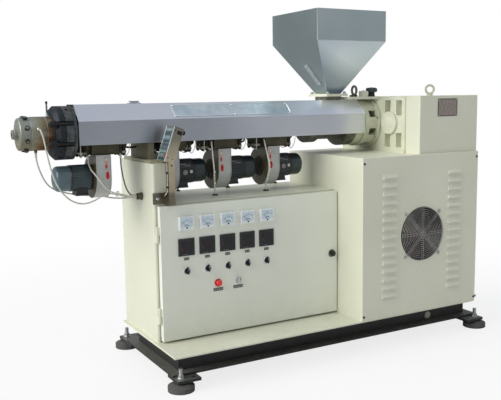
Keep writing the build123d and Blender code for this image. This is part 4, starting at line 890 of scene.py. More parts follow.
sleeves = {
    "die_cable_side": ((222, 222, 212), (168, 166, 154), 0.62),
    "die_cable_under": ((222, 222, 212), (168, 166, 154), 0.56),
    "zone_cable_left": ((228, 228, 219), (180, 178, 168), 0.31),
    "zone_cable_right": ((128, 130, 126), (84, 84, 80), 0.2),
}
for name, (tone, shade_and_soil, length) in sleeves.items():
    cables[name].data.materials.append(braid(name + "_sleeve", tone, shade_and_soil, length))
print("cables sleeved")

# %% [markdown]
# Every CAD node now gets its finish by name. A node that stays keeps its own mesh, and only its
# material slots change.

# %% Finishes on the CAD nodes
node_finishes = {
    "cream_enamel": [
        "deck_plate", "end_post", "control_roof", "control_back", "door_frame_sides",
        "door_frame_rails", "hinge_leaves", "hinge_knuckles",
        "motor_cabinet_sides", "motor_cabinet_back", "motor_cabinet_roof", "fan_panel",
        "drive_cover",
    ],
    "door_enamel_painted_light": ["cabinet_door"],
    "cream_casting": ["gearbox", "hopper_flange", "feed_plate"],
    "bell_casting_painted_shade": ["bell_housing"],
    "eye_casting": ["lifting_eyes"],
    "black_enamel": ["base_long_rails", "base_end_rails", "foot_plates"],
    "grey_rubber": ["levelling_pads"],
    "zinc_plated": ["levelling_studs"],
    "probe_steel": ["melt_probe"],
    "cover_stainless": ["barrel_cover"],
    "hopper_stainless": ["hopper"],
    "arm_stainless": ["keypad_arm", "keypad"],
    "heat_tinted_steel": ["die_body"],
    "clamp_blue": ["die_clamp_front"],
    "clamp_grey": ["die_clamp_rear"],
    "black_iron": ["clamp_bolts"],
    "nitrided_barrel": ["barrel"],
    "cast_heater": ["heater_bands"],
    "duct_steel": ["cooling_ducts"],
    "support_steel": ["barrel_support"],
    "scroll_grey": ["blower_housings"],
    "shaded_motor_paint": ["blower_motors"],
    "meter_white": ["ammeters"],
    "controller_black": ["temperature_controllers"],
    "polished_chrome": ["switch_bezels"],
    "guard_wire": ["fan_guard"],
    "black_plastic": ["lock_knob", "filler_cap"] + [f"switch_knob_{n}" for n in range(1, 6)],
    "silver_plastic": ["selector_knob"],
    "red_lens": ["pilot_lamp"],
    "fan_brown": ["fan_rotor"],
    "fan_frame_black": ["fan_frame"],
    "gland_metal": ["cable_glands"],
    "white_sleeve": ["zone_wires"],
}
dressed = set()
for finish_name, nodes in node_finishes.items():
    for node in nodes:
        mesh = frame["nodes"][node].data
        mesh.materials.clear()
        mesh.materials.append(finishes[finish_name])
        dressed.add(node)
left_over = set(frame["nodes"]) - dressed - set(cables)
print("nodes dressed", len(dressed), "without a finish", sorted(left_over))

# %% [markdown]
# The small pieces are drawn in millimetres with a few helpers. Each helper adds one shape to an
# open mesh at a matrix: its Z is the way the shape faces, and its origin the middle of its foot.
# A box gets softened edges, a turned piece is a lathe profile, and a tube follows points.

# %% Helpers for pieces
LEFT, RIGHT, FRONT, UP = (-1, 0, 0), (1, 0, 0), (0, -1, 0), (0, 0, 1)
AXIS = 1000.0


def facing(place, out, up=UP):
    """A matrix at a place whose Z looks along out, with Y as near to up as it can be."""
    z = Vector(out).normalized()
    x = Vector(up).cross(z).normalized()
    return Matrix.Translation(place) @ Matrix((x, z.cross(x), z)).transposed().to_4x4()


def standing(x, y, z):
    """A matrix at a place whose Z looks straight up, with Y towards the back."""
    return facing((x, y, z), UP, (0, 1, 0))


def hanging(x, y, z):
    """A matrix at a place whose Z looks straight down, with Y towards the back."""
    return facing((x, y, z), (0, 0, -1), (0, 1, 0))


def moved(where, x=0.0, y=0.0, z=0.0, turn=0.0):
    """The same matrix shifted along its own axes and turned about its own Z, in degrees."""
    return where @ Matrix.Translation((x, y, z)) @ Matrix.Rotation(math.radians(turn), 4, "Z")


def add_box(shape, where, size, soft=0.6, look=0):
    """A box with softened edges that stands on the matrix's XY plane."""
    grow = Matrix.Translation((0, 0, size[2] / 2)) @ Matrix.Diagonal((*size, 1))
    corners = bmesh.ops.create_cube(shape, size=1, matrix=where @ grow)["verts"]
    for face in {face for corner in corners for face in corner.link_faces}:
        face.material_index = look
    lines = list({line for corner in corners for line in corner.link_edges})
    if soft:
        bmesh.ops.bevel(
            shape, geom=lines, offset=soft, offset_type="OFFSET", segments=1, profile=0.5,
            affect="EDGES", clamp_overlap=True, material=-1,
        )


def add_turned(shape, where, profile, steps=20, look=0, reach=None):
    """A piece turned about the matrix's Z from (radius, height) points; reach varies the radius."""
    rings = []
    for radius, rise in profile:
        if radius == 0:
            rings.append([shape.verts.new(where @ Vector((0, 0, rise)))])
            continue
        ring = []
        for n in range(steps):
            turn = math.tau * n / steps
            far = radius * (reach(turn) if reach else 1)
            point = Vector((far * math.cos(turn), far * math.sin(turn), rise))
            ring.append(shape.verts.new(where @ point))
        rings.append(ring)
    for low, high in zip(rings, rings[1:]):
        for n in range(steps):
            after = (n + 1) % steps
            around = [low[n % len(low)], low[after % len(low)]]
            around += [high[after % len(high)], high[n % len(high)]]
            face = shape.faces.new(list(dict.fromkeys(around)))
            face.material_index = look


def add_screw(shape, where, radius, tall, look=0):
    """A socket screw's head: a drum with a chamfer and a sunken middle."""
    rim = 0.12 * radius
    add_turned(shape, where, [
        (0, 0), (radius, 0), (radius, tall - rim), (radius - rim, tall),
        (0.55 * radius, tall), (0.5 * radius, 0.45 * tall), (0, 0.45 * tall),
    ], 18, look)


def add_rivet(shape, where, radius, tall, look=0):
    """A low dome."""
    add_turned(shape, where, [
        (0, 0), (radius, 0), (0.94 * radius, 0.4 * tall), (0.7 * radius, 0.8 * tall),
        (0.35 * radius, 0.97 * tall), (0, tall),
    ], 16, look)


def add_nut(shape, where, across, tall, bolt=0.0, look=0):
    """A hexagon nut with chamfered corners, and the end of its bolt if it shows."""
    corner = across / math.sqrt(3)
    add_turned(shape, where, [
        (0, 0), (corner, 0), (corner, 0.82 * tall), (0.88 * corner, tall), (0, tall),
    ], 6, look)
    if bolt:
        thread = 0.31 * across
        add_turned(shape, moved(where, z=0.9 * tall), [
            (0, 0), (thread, 0), (thread, 0.1 * tall + bolt - 1), (thread - 1, 0.1 * tall + bolt),
            (0, 0.1 * tall + bolt),
        ], 12, look)


def add_tube(shape, points, radius, steps=8, look=0):
    """A round bar through the points, closed at both ends."""
    spots = [Vector(point) for point in points]
    side = (spots[1] - spots[0]).orthogonal().normalized()
    rings = []
    for n, spot_here in enumerate(spots):
        along = (spots[min(n + 1, len(spots) - 1)] - spots[max(n - 1, 0)]).normalized()
        side = (side - along * side.dot(along)).normalized()
        other = along.cross(side)
        rings.append([
            shape.verts.new(spot_here + radius * (
                math.cos(math.tau * k / steps) * side + math.sin(math.tau * k / steps) * other
            ))
            for k in range(steps)
        ])
    for low, high in zip(rings, rings[1:]):
        for k in range(steps):
            after = (k + 1) % steps
            shape.faces.new((low[k], low[after], high[after], high[k])).material_index = look
    for ring in (rings[0], rings[-1]):
        shape.faces.new(ring).material_index = look


def round_bend(corners, radius, steps=4):
    """The points of a path whose inner corners are rounded off."""
    spots = [Vector(corner) for corner in corners]
    path = [spots[0]]
    for before, here, after in zip(spots, spots[1:], spots[2:]):
        start, end = (before - here).normalized(), (after - here).normalized()
        reach = min(radius, 0.45 * (before - here).length, 0.45 * (after - here).length)
        for k in range(steps + 1):
            share = k / steps
            first = here + start * reach * (1 - share)
            path.append(first.lerp(here + end * reach * share, share))
    return path + [spots[-1]]


def finish_piece(name, shape, looks, body="machine", sharp=35, front=None):
    """Turns a drawn shape into metres, gives it finishes and puts it on its body.

    Flat sheets have no inside, so for them front is the way that every face should look.
    """
    bmesh.ops.remove_doubles(shape, verts=shape.verts, dist=0.001)
    bmesh.ops.recalc_face_normals(shape, faces=shape.faces)
    if front:
        shape.normal_update()
        away = [face for face in shape.faces if face.normal.dot(Vector(front)) < 0]
        bmesh.ops.reverse_faces(shape, faces=away)
    mesh = bpy.data.meshes.new(name)
    shape.to_mesh(mesh)
    shape.free()
    mesh.transform(DRAWING)
    mesh.shade_smooth()
    mesh.set_sharp_from_angle(angle=math.radians(sharp))
    for look in looks:
        mesh.materials.append(finishes[look])
    piece = bpy.data.objects.new(name, mesh)
    scene.collection.objects.link(piece)
    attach(piece, body)
    print(name, len(mesh.polygons), "faces")
    return piece


# %% [markdown]
# The barrel's cover carries a long name strip on its sloping face. Its field is left bare here.
# The strip is a sunken field in a raised rim, held by six rivets. The nameplate on the drive cover
# is the same idea, browned by the sun, and is left bare too.

# %% Name strip and nameplate


def add_plate(shape, where, width, tall, thick, rim, sunk):
    """A plate with a raised rim round a sunken field; the field has the second finish."""
    low = bmesh.ops.create_grid(
        shape, x_segments=1, y_segments=1, size=0.5,
        matrix=where @ Matrix.Diagonal((width, tall, 1, 1)),
    )["verts"]
    face = low[0].link_faces[0]
    raised = bmesh.ops.extrude_face_region(shape, geom=[face])["geom"]
    out = where.to_3x3() @ Vector((0, 0, 1))
    top = [part for part in raised if isinstance(part, bmesh.types.BMFace)]
    corners = [part for part in raised if isinstance(part, bmesh.types.BMVert)]
    bmesh.ops.translate(shape, verts=corners, vec=out * thick)
    bmesh.ops.inset_region(shape, faces=top, thickness=rim, use_even_offset=True)
    bmesh.ops.inset_region(shape, faces=top, thickness=sunk, use_even_offset=True)
    for part in top:
        part.material_index = 1
        bmesh.ops.translate(shape, verts=part.verts, vec=out * -sunk)


COVER_HALF = 108.0
slope = COVER_HALF * (1 + math.tan(math.radians(22.5))) / 2
strip = facing((-116.5, -slope, AXIS + slope), (0, -1, 1))
shape = bmesh.new()
add_plate(shape, strip, 556, 68, 2.6, 4.5, 1.2)
for x in (-270, 0, 270):
    for y in (-27, 27):
        add_rivet(shape, moved(strip, x, y, 1.3), 4.6, 3.2, 2)
strip_looks = ["plate_aluminium", "strip_field", "polished_chrome"]
finish_piece("name_strip", shape, strip_looks)

plate = facing((815, -372, 1068), FRONT)
shape = bmesh.new()
add_plate(shape, plate, 116, 78, 1.6, 3, 0.5)
for x in (-53, 53):
    for y in (-34, 34):
        add_rivet(shape, moved(plate, x, y, 1.4), 3, 1.6, 2)
finish_piece("nameplate", shape, ["plate_dark", "bare_nameplate", "zinc_plated"])

# %% [markdown]
# The barrel's cover is held down by hidden screws, and carries one small lug on its top near the
# die. It also has turned-in ends: a thin bright lip along each end of the sheet.

# %% Cover lug and lips
cover_low, cover_high = drawn_box("barrel_cover")
reach_side = COVER_HALF * math.tan(math.radians(22.5))
cover_line = [
    (-COVER_HALF, cover_low.z), (-COVER_HALF, AXIS + reach_side), (-reach_side, AXIS + COVER_HALF),
    (reach_side, AXIS + COVER_HALF), (COVER_HALF, AXIS + reach_side), (COVER_HALF, cover_low.z),
]
shape = bmesh.new()
for x in (cover_low.x + 1.4, cover_high.x - 1.4):
    add_tube(shape, [(x, y, z) for y, z in cover_line], 1.4, 6)
for side in (-1, 1):
    add_tube(shape, [
        (cover_low.x + 2, side * (COVER_HALF - 1), cover_low.z),
        (cover_high.x - 2, side * (COVER_HALF - 1), cover_low.z),
    ], 1.3, 6)
add_box(shape, standing(-530, 0, AXIS + COVER_HALF), (52, 24, 2.5), 0.8)
add_box(shape, standing(-530, 4, AXIS + COVER_HALF), (44, 3, 11), 1.2)
for x in (-548, -512):
    add_rivet(shape, standing(x, -5, AXIS + COVER_HALF + 2.5), 3.5, 2.5, 1)
finish_piece("cover_trim", shape, ["cover_stainless", "polished_chrome"])

# %% [markdown]
# The hopper is folded from thin sheet and welded down its four corners. Its rim is turned in, a
# sight strip is welded across its left side, and its flange is held by a nut in each corner.

# %% Hopper trim
hopper_low, hopper_high = drawn_box("hopper")
flange_low, flange_high = drawn_box("hopper_flange")
middle_x = (hopper_low.x + hopper_high.x) / 2
half = (hopper_high.x - hopper_low.x) / 2
HOPPER_BREAK, OUTLET_X, OUTLET_Y = 1366.0, 38.0, 45.0
shape = bmesh.new()
for side_x in (-1, 1):
    for side_y in (-1, 1):
        top = (middle_x + side_x * (half - 0.6), side_y * (half - 0.6), hopper_high.z - 1)
        fold = (middle_x + side_x * (half - 0.6), side_y * (half - 0.6), HOPPER_BREAK)
        foot = (middle_x + side_x * OUTLET_X, side_y * OUTLET_Y, flange_high.z + 1)
        add_tube(shape, [top, fold], 1.5, 6, 1)
        add_tube(shape, [fold, foot], 1.1, 6, 0)
        add_tube(shape, [Vector(fold).lerp(Vector(foot), 0.62), foot], 1.6, 6, 1)
rim = half - 3.4
for side in (-1, 1):
    run = 2 * rim - 2
    along_x = standing(middle_x, side * rim, hopper_high.z - 13)
    add_box(shape, along_x, (run, 2.6, 12.5), 0.8)
    along_y = standing(middle_x + side * rim, 0, hopper_high.z - 13)
    add_box(shape, along_y, (2.6, run, 12.5), 0.8)
finish_piece("hopper_seams", shape, ["hopper_stainless", "weld_bright"])

lean = (half - OUTLET_X) / (HOPPER_BREAK - flange_high.z)
sight_z = 1223
sight_x = middle_x - half + (HOPPER_BREAK - sight_z) * lean
sight = facing((sight_x, -13, sight_z), (-1, 0, -lean), (-54, 27, 84))
shape = bmesh.new()
add_box(shape, sight, (28, 110, 3), 1.0, 1)
add_box(shape, moved(sight, z=3), (15, 96, 1.2), 0.4, 2)
add_box(shape, moved(sight, 21, -8), (2.5, 104, 1.4), 0.5, 0)
for y in (-50, 50):
    add_rivet(shape, moved(sight, y=y, z=3), 3, 1.8, 0)
sight_looks = ["hopper_stainless", "weld_bright", "polished_chrome"]
finish_piece("sight_strip", shape, sight_looks)

shape = bmesh.new()
for x in (flange_low.x + 11, flange_high.x - 11):
    for y in (flange_low.y + 11, flange_high.y - 11):
        where = standing(x, y, flange_high.z)
        add_turned(shape, where, [(0, 0), (8.5, 0), (8.5, 1.4), (0, 1.4)], 16)
        add_nut(shape, moved(where, z=1.4, turn=20), 13, 6.5, 3.5)
finish_piece("flange_nuts", shape, ["zinc_plated"])

# %% [markdown]
# On the plate between the hopper and the gearbox stand screws, nuts, a small block and the filler
# cap. The cap is a lobed black moulding that takes the place of its plain CAD node.

# %% Feed plate fittings
cap_low, cap_high = drawn_box("filler_cap")
cap_x, cap_y = (cap_low.x + cap_high.x) / 2, (cap_low.y + cap_high.y) / 2
plate_top = cap_low.z
cap_radius = (cap_high.x - cap_low.x) / 2
cap_place = standing(cap_x, cap_y, plate_top)
cap_tall = cap_high.z - cap_low.z
shape = bmesh.new()
add_turned(shape, cap_place, [
    (0, 0), (17, 0), (17, 4), (15, 6), (15, 21), (0, 21),
], 28, 1)


def lobes(turn):
    """Eight shallow finger hollows round the cap."""
    return 1 - 0.05 * (1 - math.cos(8 * turn)) / 2


add_turned(shape, cap_place, [
    (0, 20), (0.8 * cap_radius, 20), (0.97 * cap_radius, 23), (cap_radius, 26),
    (cap_radius, 34), (0.94 * cap_radius, 38), (0.72 * cap_radius, 41), (0.5 * cap_radius, 41.6),
    (0.44 * cap_radius, 40.2), (0.2 * cap_radius, 40.2), (0.14 * cap_radius, cap_tall),
    (0, cap_tall),
], 64, 0, lobes)
cap = finish_piece("filler_cap_lobed", shape, ["cap_blue_black", "black_plastic"])
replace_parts(cap, "filler_cap")

shape = bmesh.new()
for x, y in ((503, -70), (503, 70), (532, -70), (532, 70)):
    add_screw(shape, standing(x, y, plate_top), 6.5, 8)
for x, y in ((610, 66), (637, 66), (637, -20)):
    add_nut(shape, standing(x, y, plate_top), 13, 7, 0, 1)
add_screw(shape, standing(577, -68, plate_top + 26), 6, 2.5)
finish_piece("feed_plate_screws", shape, ["dark_fitting", "zinc_plated"])

# %% [markdown]
# Bolts hold the heavy castings together. They stand in rings, so each ring is one small loop that
# places a bolt at equal turns about the barrel's axis or the bearing cover's. Plugs close the
# gearbox's four corners.

# %% Casting bolts


def ring_places(x, y, radius, count, start, out):
    """Matrices in a ring about an axis along X, counted from the top towards the front."""
    places = []
    for n in range(count):
        turn = math.radians(start + 360 / count * n)
        place = (x, y - radius * math.sin(turn), AXIS + radius * math.cos(turn))
        places.append(facing(place, (out, 0, 0)))
    return places


bell_low, bell_high = drawn_box("bell_housing")
BELL_BOLTS, BELL_SCREWS = 111, 94
shape = bmesh.new()
for where in ring_places(bell_high.x - 16, 0, BELL_BOLTS, 8, 33, -1):
    add_nut(shape, moved(where, turn=15), 13, 9)
for where in ring_places(bell_low.x + 2, 0, BELL_SCREWS, 8, 22.5, 1):
    add_screw(shape, where, 6, 5)
finish_piece("bell_bolts", shape, ["zinc_plated"])

gear_low, _ = drawn_box("gearbox")
BEARING_Y = -178
shape = bmesh.new()
add_turned(shape, facing((gear_low.x, BEARING_Y, AXIS), LEFT), [
    (30, 0), (30, 1.6), (28.5, 2.4), (0, 2.4),
], 40, 1)
for where in ring_places(gear_low.x, BEARING_Y, 43, 6, 30, -1):
    add_rivet(shape, where, 4.2, 2.2, 1)
for y in (-264, 175):
    for z in (AXIS + 106, AXIS - 118):
        add_turned(shape, facing((gear_low.x + 14, y, z), LEFT), [
            (7.5, 0), (7.5, 2), (3.5, 3), (0, 3),
        ], 16, 1)
finish_piece("gearbox_bolts", shape, ["zinc_plated", "cream_casting"])

# %% [markdown]
# The die: eight black centring screws in its front ring, a thin bright bar along its top that also
# stands for the highlight there (painted highlight), the nut and cap of the melt probe, a heater
# strap round its body with its lug, and a ring and six screws round the nozzle.

# %% Die details
die_low, die_high = drawn_box("die_body")
DIE_RADIUS = 62.0
die_left = die_high.x - 124
shape = bmesh.new()
for n in range(8):
    turn = math.radians(22.5 + 45 * n)
    out = Vector((0, -math.sin(turn), math.cos(turn)))
    place = Vector((die_left + 26, 0, AXIS)) + out * (DIE_RADIUS - 3)
    add_screw(shape, facing(place, out, RIGHT), 8.6, 12.6)
finish_piece("centring_screws", shape, ["black_plastic"])

shape = bmesh.new()
strap_low, strap_high = die_left + 42, die_left + 104
ends = facing((strap_low, 0, AXIS), RIGHT)
wide = strap_high - strap_low
add_turned(shape, ends, [
    (DIE_RADIUS - 1, 0), (DIE_RADIUS + 1.2, 0), (DIE_RADIUS + 2, 1.5), (DIE_RADIUS + 2, wide - 1.5),
    (DIE_RADIUS + 1.2, wide), (DIE_RADIUS - 1, wide),
], 72)
for x in (2, wide - 2):
    add_turned(shape, moved(ends, z=x - 1), [
        (DIE_RADIUS + 1, 0), (DIE_RADIUS + 2.8, 0.6), (DIE_RADIUS + 2.8, 1.4), (DIE_RADIUS + 1, 2),
    ], 72)
lug = facing((strap_low + wide / 2, 34, AXIS + 55), (0, 0.5, 0.86), RIGHT)
add_box(shape, lug, (16, wide - 6, 7), 1.5)
finish_piece("die_strap", shape, ["heat_tinted_steel"])

shape = bmesh.new()
top = AXIS + DIE_RADIUS
# Painted highlight: a thin bright bar along the die's top, which also stands for its highlight.
add_box(shape, standing(die_left + 69, -6, top + 0.6), (112, 7, 3.2), 1, 0)
add_screw(shape, standing(die_left + 20, -6, top + 3), 4.5, 3.5, 1)
probe_low, probe_high = drawn_box("melt_probe")
probe_x = (probe_low.x + probe_high.x) / 2
probe = standing(probe_x, 0, top)
add_nut(shape, moved(probe, z=1), 15, 9, 0, 0)
add_turned(shape, moved(probe, z=10), [(5.5, 0), (5.5, 5), (4.2, 6.5), (0, 6.5)], 14, 0)
add_turned(shape, moved(probe, z=probe_high.z - top - 9), [
    (0, 0), (4.6, 0), (4.6, 7), (3, 9), (0, 9),
], 14, 1)
finish_piece("die_top", shape, ["weld_bright", "black_iron"])

shape = bmesh.new()
nozzle = facing((die_low.x, 0, AXIS), LEFT)
add_turned(shape, moved(nozzle, z=-14), [(18, 0), (20, 0.8), (20, 5), (18, 6)], 36)
for where in ring_places(die_left, 0, 45, 6, 30, -1):
    add_screw(shape, where, 5, 1.6)
finish_piece("nozzle_ring", shape, ["heat_tinted_steel"])

# %% [markdown]
# The clamp: its four swing bolts get washers and caps, and both discs a shallow lip.

# %% Clamp details
_, clamp_high = drawn_box("die_clamp_rear")
front_low, _ = drawn_box("die_clamp_front")
CLAMP_RADIUS = 104.0
shape = bmesh.new()
for turn in (67.5, 112.5, 247.5, 292.5):
    for where in ring_places(front_low.x, 0, CLAMP_RADIUS - 8, 1, turn, -1):
        add_turned(shape, moved(where, z=-1), [(8, 0), (15, 0), (15, 2.4), (8, 2.4)], 20)
        add_turned(shape, moved(where, z=20), [
            (0, 0), (7.2, 0), (7.2, 5), (6, 6.5), (0, 6.5),
        ], 16, 1)
for x in (front_low.x + 16, clamp_high.x - 1.5):
    add_turned(shape, facing((x, 0, AXIS), RIGHT), [
        (CLAMP_RADIUS - 3, 0), (CLAMP_RADIUS + 0.3, 0.2),
        (CLAMP_RADIUS + 0.3, 0.9), (CLAMP_RADIUS - 3, 1.1),
    ], 96)
finish_piece("clamp_washers", shape, ["black_iron", "dark_fitting"])

# %% [markdown]
# Under each heater band hang its terminals: a ceramic bead and a dark nut on every post, a strip
# that joins each pair, and a few loops of glass-sleeved wire. A thin dark conduit runs from zone to
# zone behind them. Four narrow straps run round every band.

# %% Zone terminals
HEATER_RADIUS, ZONE_LENGTH = 66.0, 196.0
duct_low, _ = drawn_box("cooling_ducts")
zone_middles = [BARREL_LEFT + x for x in (117, 405, 645, 897)]
post_foot = AXIS - HEATER_RADIUS - 24
beads, loops = bmesh.new(), bmesh.new()
for zone, middle in enumerate(zone_middles):
    for side in (-1, 1):
        end = middle + side * ZONE_LENGTH / 2
        inner, outer = end - side * 28, end - side * 10
        for number, x in enumerate((inner, outer)):
            for y in (-26, 26):
                post = hanging(x, y, post_foot)
                add_turned(beads, moved(post, z=-13), [
                    (8, 0), (9.8, 1), (10.2, 5), (9.8, 9), (8, 10),
                ], 18, 1 if (zone + number) % 2 else 2)
                add_nut(beads, moved(post, turn=25 * zone), 13, 5, 3, 0)
            add_box(beads, standing(x, 0, post_foot - 3), (8, 62, 1.6), 0.4, 0)
        sag = 6 * (zone % 2)
        add_tube(loops, round_bend([
            (inner, -26, post_foot - 2), (inner, -48, post_foot - 2),
            (inner - side * 4, -60, post_foot + 12), (inner - side * 6, -66, AXIS - 52),
        ], 12), 1.8, 6, 0)
        add_tube(loops, round_bend([
            (outer, -26, post_foot - 4), (outer + side * 2, -44, post_foot - 9 - sag),
            (outer + side * 10, -58, post_foot + 8), (outer + side * 12, -64, AXIS - 50),
        ], 12), 1.6, 6, 1)
        add_tube(loops, round_bend([
            (inner, 26, post_foot - 2), (inner + side * 8, 8, post_foot - 8 - sag),
            (outer, -10, post_foot - 6), (outer, -26, post_foot - 4),
        ], 8), 1.4, 6, 2)
    band = facing((middle - ZONE_LENGTH / 2, 0, AXIS), RIGHT)
    for place in (4, 30, ZONE_LENGTH - 30, ZONE_LENGTH - 4):
        add_turned(beads, moved(band, z=place - 2), [
            (HEATER_RADIUS - 2, 0), (HEATER_RADIUS + 2.2, 0.6),
            (HEATER_RADIUS + 2.2, 3.4), (HEATER_RADIUS - 2, 4),
        ], 56, 0)
bead_looks = ["dark_fitting", "ceramic_white", "ceramic_grey"]
finish_piece("terminal_beads", beads, bead_looks)
for first, second in zip(zone_middles, zone_middles[1:]):
    start, stop = first + ZONE_LENGTH / 2, second - ZONE_LENGTH / 2
    run = [
        (start, 52, AXIS - 52), (start + 6, 40, AXIS - 66), ((first + second) / 2, 36, AXIS - 72),
        (stop - 6, 40, AXIS - 66), (stop, 52, AXIS - 52),
    ]
    add_tube(loops, round_bend(run, 14), 4.2, 8, 3)
loop_looks = ["dark_fitting", "white_sleeve", "loop_red", "black_rubber"]
finish_piece("terminal_loops", loops, loop_looks)

# %% [markdown]
# The ducts are folded sheet with a turned-out lip along the bottom, where the blower's neck joins.

# %% Duct lips
shape = bmesh.new()
for middle in zone_middles:
    foot = standing(middle, 0, duct_low.z)
    for side in (-1, 1):
        add_box(shape, moved(foot, y=side * 67.2, z=0), (114, 3, 4), 0.7)
        add_box(shape, moved(foot, x=side * 56.2), (3, 137, 4), 0.7)
        for x in (-42, 0, 42):
            add_rivet(shape, facing((middle + x, side * 66, duct_low.z + 14), (0, side, 0)), 3, 1.6)
finish_piece("duct_lips", shape, ["duct_steel"])

# %% [markdown]
# The blowers. Each motor is drawn afresh and takes the place of its plain CAD drum: a finned body,
# a flange, a domed fan cowl with a grille on its end, and a terminal box with a lid. The first one
# stands in the sun on the other side of its scroll.

# %% Blower motors
SCROLL_RADIUS, SCROLL_THICK, MOTOR_RADIUS = 83.0, 60.0, 52.0
housing_low, _ = drawn_box("blower_housings")
blower_z = housing_low.z + SCROLL_RADIUS
blower_x = [middle + lag for middle, lag in zip(zone_middles, (-16, -14, -14, -25))]
blower_side = (-1, 1, 1, 1)
BODY_LONG, COWL_LONG = 90.0, 58.0


def fins(turn):
    """Thirty cooling fins round the body: narrow grooves between flat lands."""
    wave = math.cos(30 * turn)
    return 0.97 if wave < -0.2 else 1.0


def add_motor(shape, x, side):
    """One motor on the side of its scroll: body, cowl and box."""
    root = facing((x + side * SCROLL_THICK / 2, 0, blower_z), (side, 0, 0))
    add_turned(shape, root, [(0, 0), (50, 0), (50, 6), (48, 7), (48, 10), (0, 10)], 48, 1)
    add_turned(shape, moved(root, z=8), [
        (46, 0), (MOTOR_RADIUS, 2), (MOTOR_RADIUS, BODY_LONG - 14), (46, BODY_LONG - 12),
    ], 180, 0, fins)
    add_turned(shape, moved(root, z=BODY_LONG - 9), [
        (44, 0), (MOTOR_RADIUS, 0), (MOTOR_RADIUS, 7.5), (50, 9), (44, 9),
    ], 48, 1)
    dome = moved(root, z=BODY_LONG)
    add_turned(shape, dome, [
        (49, 0), (50, 1), (50, COWL_LONG - 18), (49, COWL_LONG - 12), (46, COWL_LONG - 7),
        (41, COWL_LONG - 3.2), (34, COWL_LONG - 0.9), (22, COWL_LONG), (22, COWL_LONG - 1.4),
        (0, COWL_LONG - 1.4),
    ], 48, 2)
    for radius in (11, 20):
        add_turned(shape, moved(dome, z=COWL_LONG - 1.6), [
            (radius, 0), (radius + 1.4, 1), (radius + 2.8, 0),
        ], 32, 2)
    for n in range(6):
        spoke = moved(moved(dome, turn=60 * n, z=COWL_LONG - 1.8), x=13)
        add_box(shape, spoke, (20, 2.6, 1.5), 0.4, 2)
    box_x = x + side * (SCROLL_THICK / 2 + (33 if side > 0 else 46))
    under = hanging(box_x, -8, blower_z - 30)
    add_box(shape, moved(under, z=8), (48, 58, 22), 2, 1)
    add_box(shape, moved(under, z=29), (51, 61, 9), 1.8, 1)
    for corner_x in (-20, 20):
        for corner_y in (-25, 25):
            add_screw(shape, moved(under, corner_x, corner_y, 37), 2.6, 1.6, 3)


motors = bmesh.new()
sunlit = bmesh.new()
for x, side in zip(blower_x, blower_side):
    add_motor(sunlit if side < 0 else motors, x, side)
# The motors in shade wear the darker copies of the paint: painted shade.
for name, shape, body_look, cowl_look in (
    ("blower_motors_shaded", motors, "shaded_motor_paint", "shaded_cowl_paint"),
    ("blower_motor_sunlit", sunlit, "motor_teal", "cowl_teal"),
):
    looks = [body_look, "motor_black", cowl_look, "zinc_plated"]
    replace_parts(finish_piece(name, shape, looks), "blower_motors")

# %% [markdown]
# Stickers are thin sheets. Those on a scroll lie on its flat neck and then follow the drum, so
# each point's depth is worked out from its height. The motors carry small plates, left plain.

# %% Stickers and plates on the blowers


def scroll_front(z, lift):
    """The Y of the scroll's front at a height: flat above its axis, round below it."""
    below = min(0, z - blower_z)
    return -math.sqrt((SCROLL_RADIUS + lift) ** 2 - below**2)


def add_sticker(shape, x, z, half_width, half_height, lift, look, square=0.0):
    """An oval, or a rounded square, laid on the scroll's front in strips."""
    rows = 12
    rim = []
    for n in range(rows + 1):
        rise = -math.cos(math.pi * n / rows)
        wide = (1 - abs(rise) ** (2 + square)) ** (1 / (2 + square))
        rim.append((half_width * wide, z + rise * half_height))
    before = None
    for wide, high in rim:
        y = scroll_front(high, lift)
        pair = [shape.verts.new((x - wide, y, high)), shape.verts.new((x + wide, y, high))]
        if before:
            face = shape.faces.new((before[0], before[1], pair[1], pair[0]))
            face.material_index = look
        before = pair


shape = bmesh.new()
for n, x in enumerate(blower_x):
    mark = x + (14 if n == 0 else -14)
    add_sticker(shape, mark, blower_z + 10, 9.6, 19, 0.5, 3)
    add_sticker(shape, mark, blower_z + 10, 8, 17, 0.9, 0)
    add_sticker(shape, mark - 1, blower_z + 11, 2, 8, 1.2, 4)
    add_sticker(shape, mark - 4, blower_z + 58, 5.5, 24, 0.5, 1, square=4)
    add_sticker(shape, mark - 4, blower_z + 46, 4.2, 8, 0.9, 0)
    add_sticker(shape, mark - 4, blower_z + 72, 3.4, 5, 0.9, 2)
sticker_looks = ["sticker_red", "sticker_pink", "label_white", "label_white", "sticker_dark"]
finish_piece("scroll_stickers", shape, sticker_looks, front=FRONT)

shape = bmesh.new()
for n in (1, 2, 3):
    body_x = blower_x[n] + SCROLL_THICK / 2 + 50
    label = facing((body_x - 6, -46, blower_z + 27), (0, -0.87, 0.5))
    add_box(shape, moved(label, z=-2), (50, 22, 2.6), 0.5, 0)
    add_box(shape, moved(label, x=-10, y=5, z=0.5), (22, 3, 0.4), 0, 1)
    add_box(shape, moved(label, x=8, y=-2, z=0.5), (26, 2, 0.4), 0, 1)
    if n == 2:
        continue
    face_on = facing((body_x - 10, -MOTOR_RADIUS, blower_z - 3), FRONT)
    add_turned(shape, moved(face_on, z=-1.5), [
        (0, 0), (10.5, 0), (10.5, 2.1), (9.8, 2.4), (0, 2.4),
    ], 30, 2)
    add_box(shape, moved(face_on, 27, 3, -1.5), (11, 12, 2.2), 0.4, 3)
plate_looks = ["plate_dark", "label_grey", "sticker_grey", "label_white"]
finish_piece("motor_plates", shape, plate_looks)

# %% [markdown]
# The free side of each scroll has an air intake: a ring with a wire grille. A rolled seam runs
# round both edges of the scroll's rim.

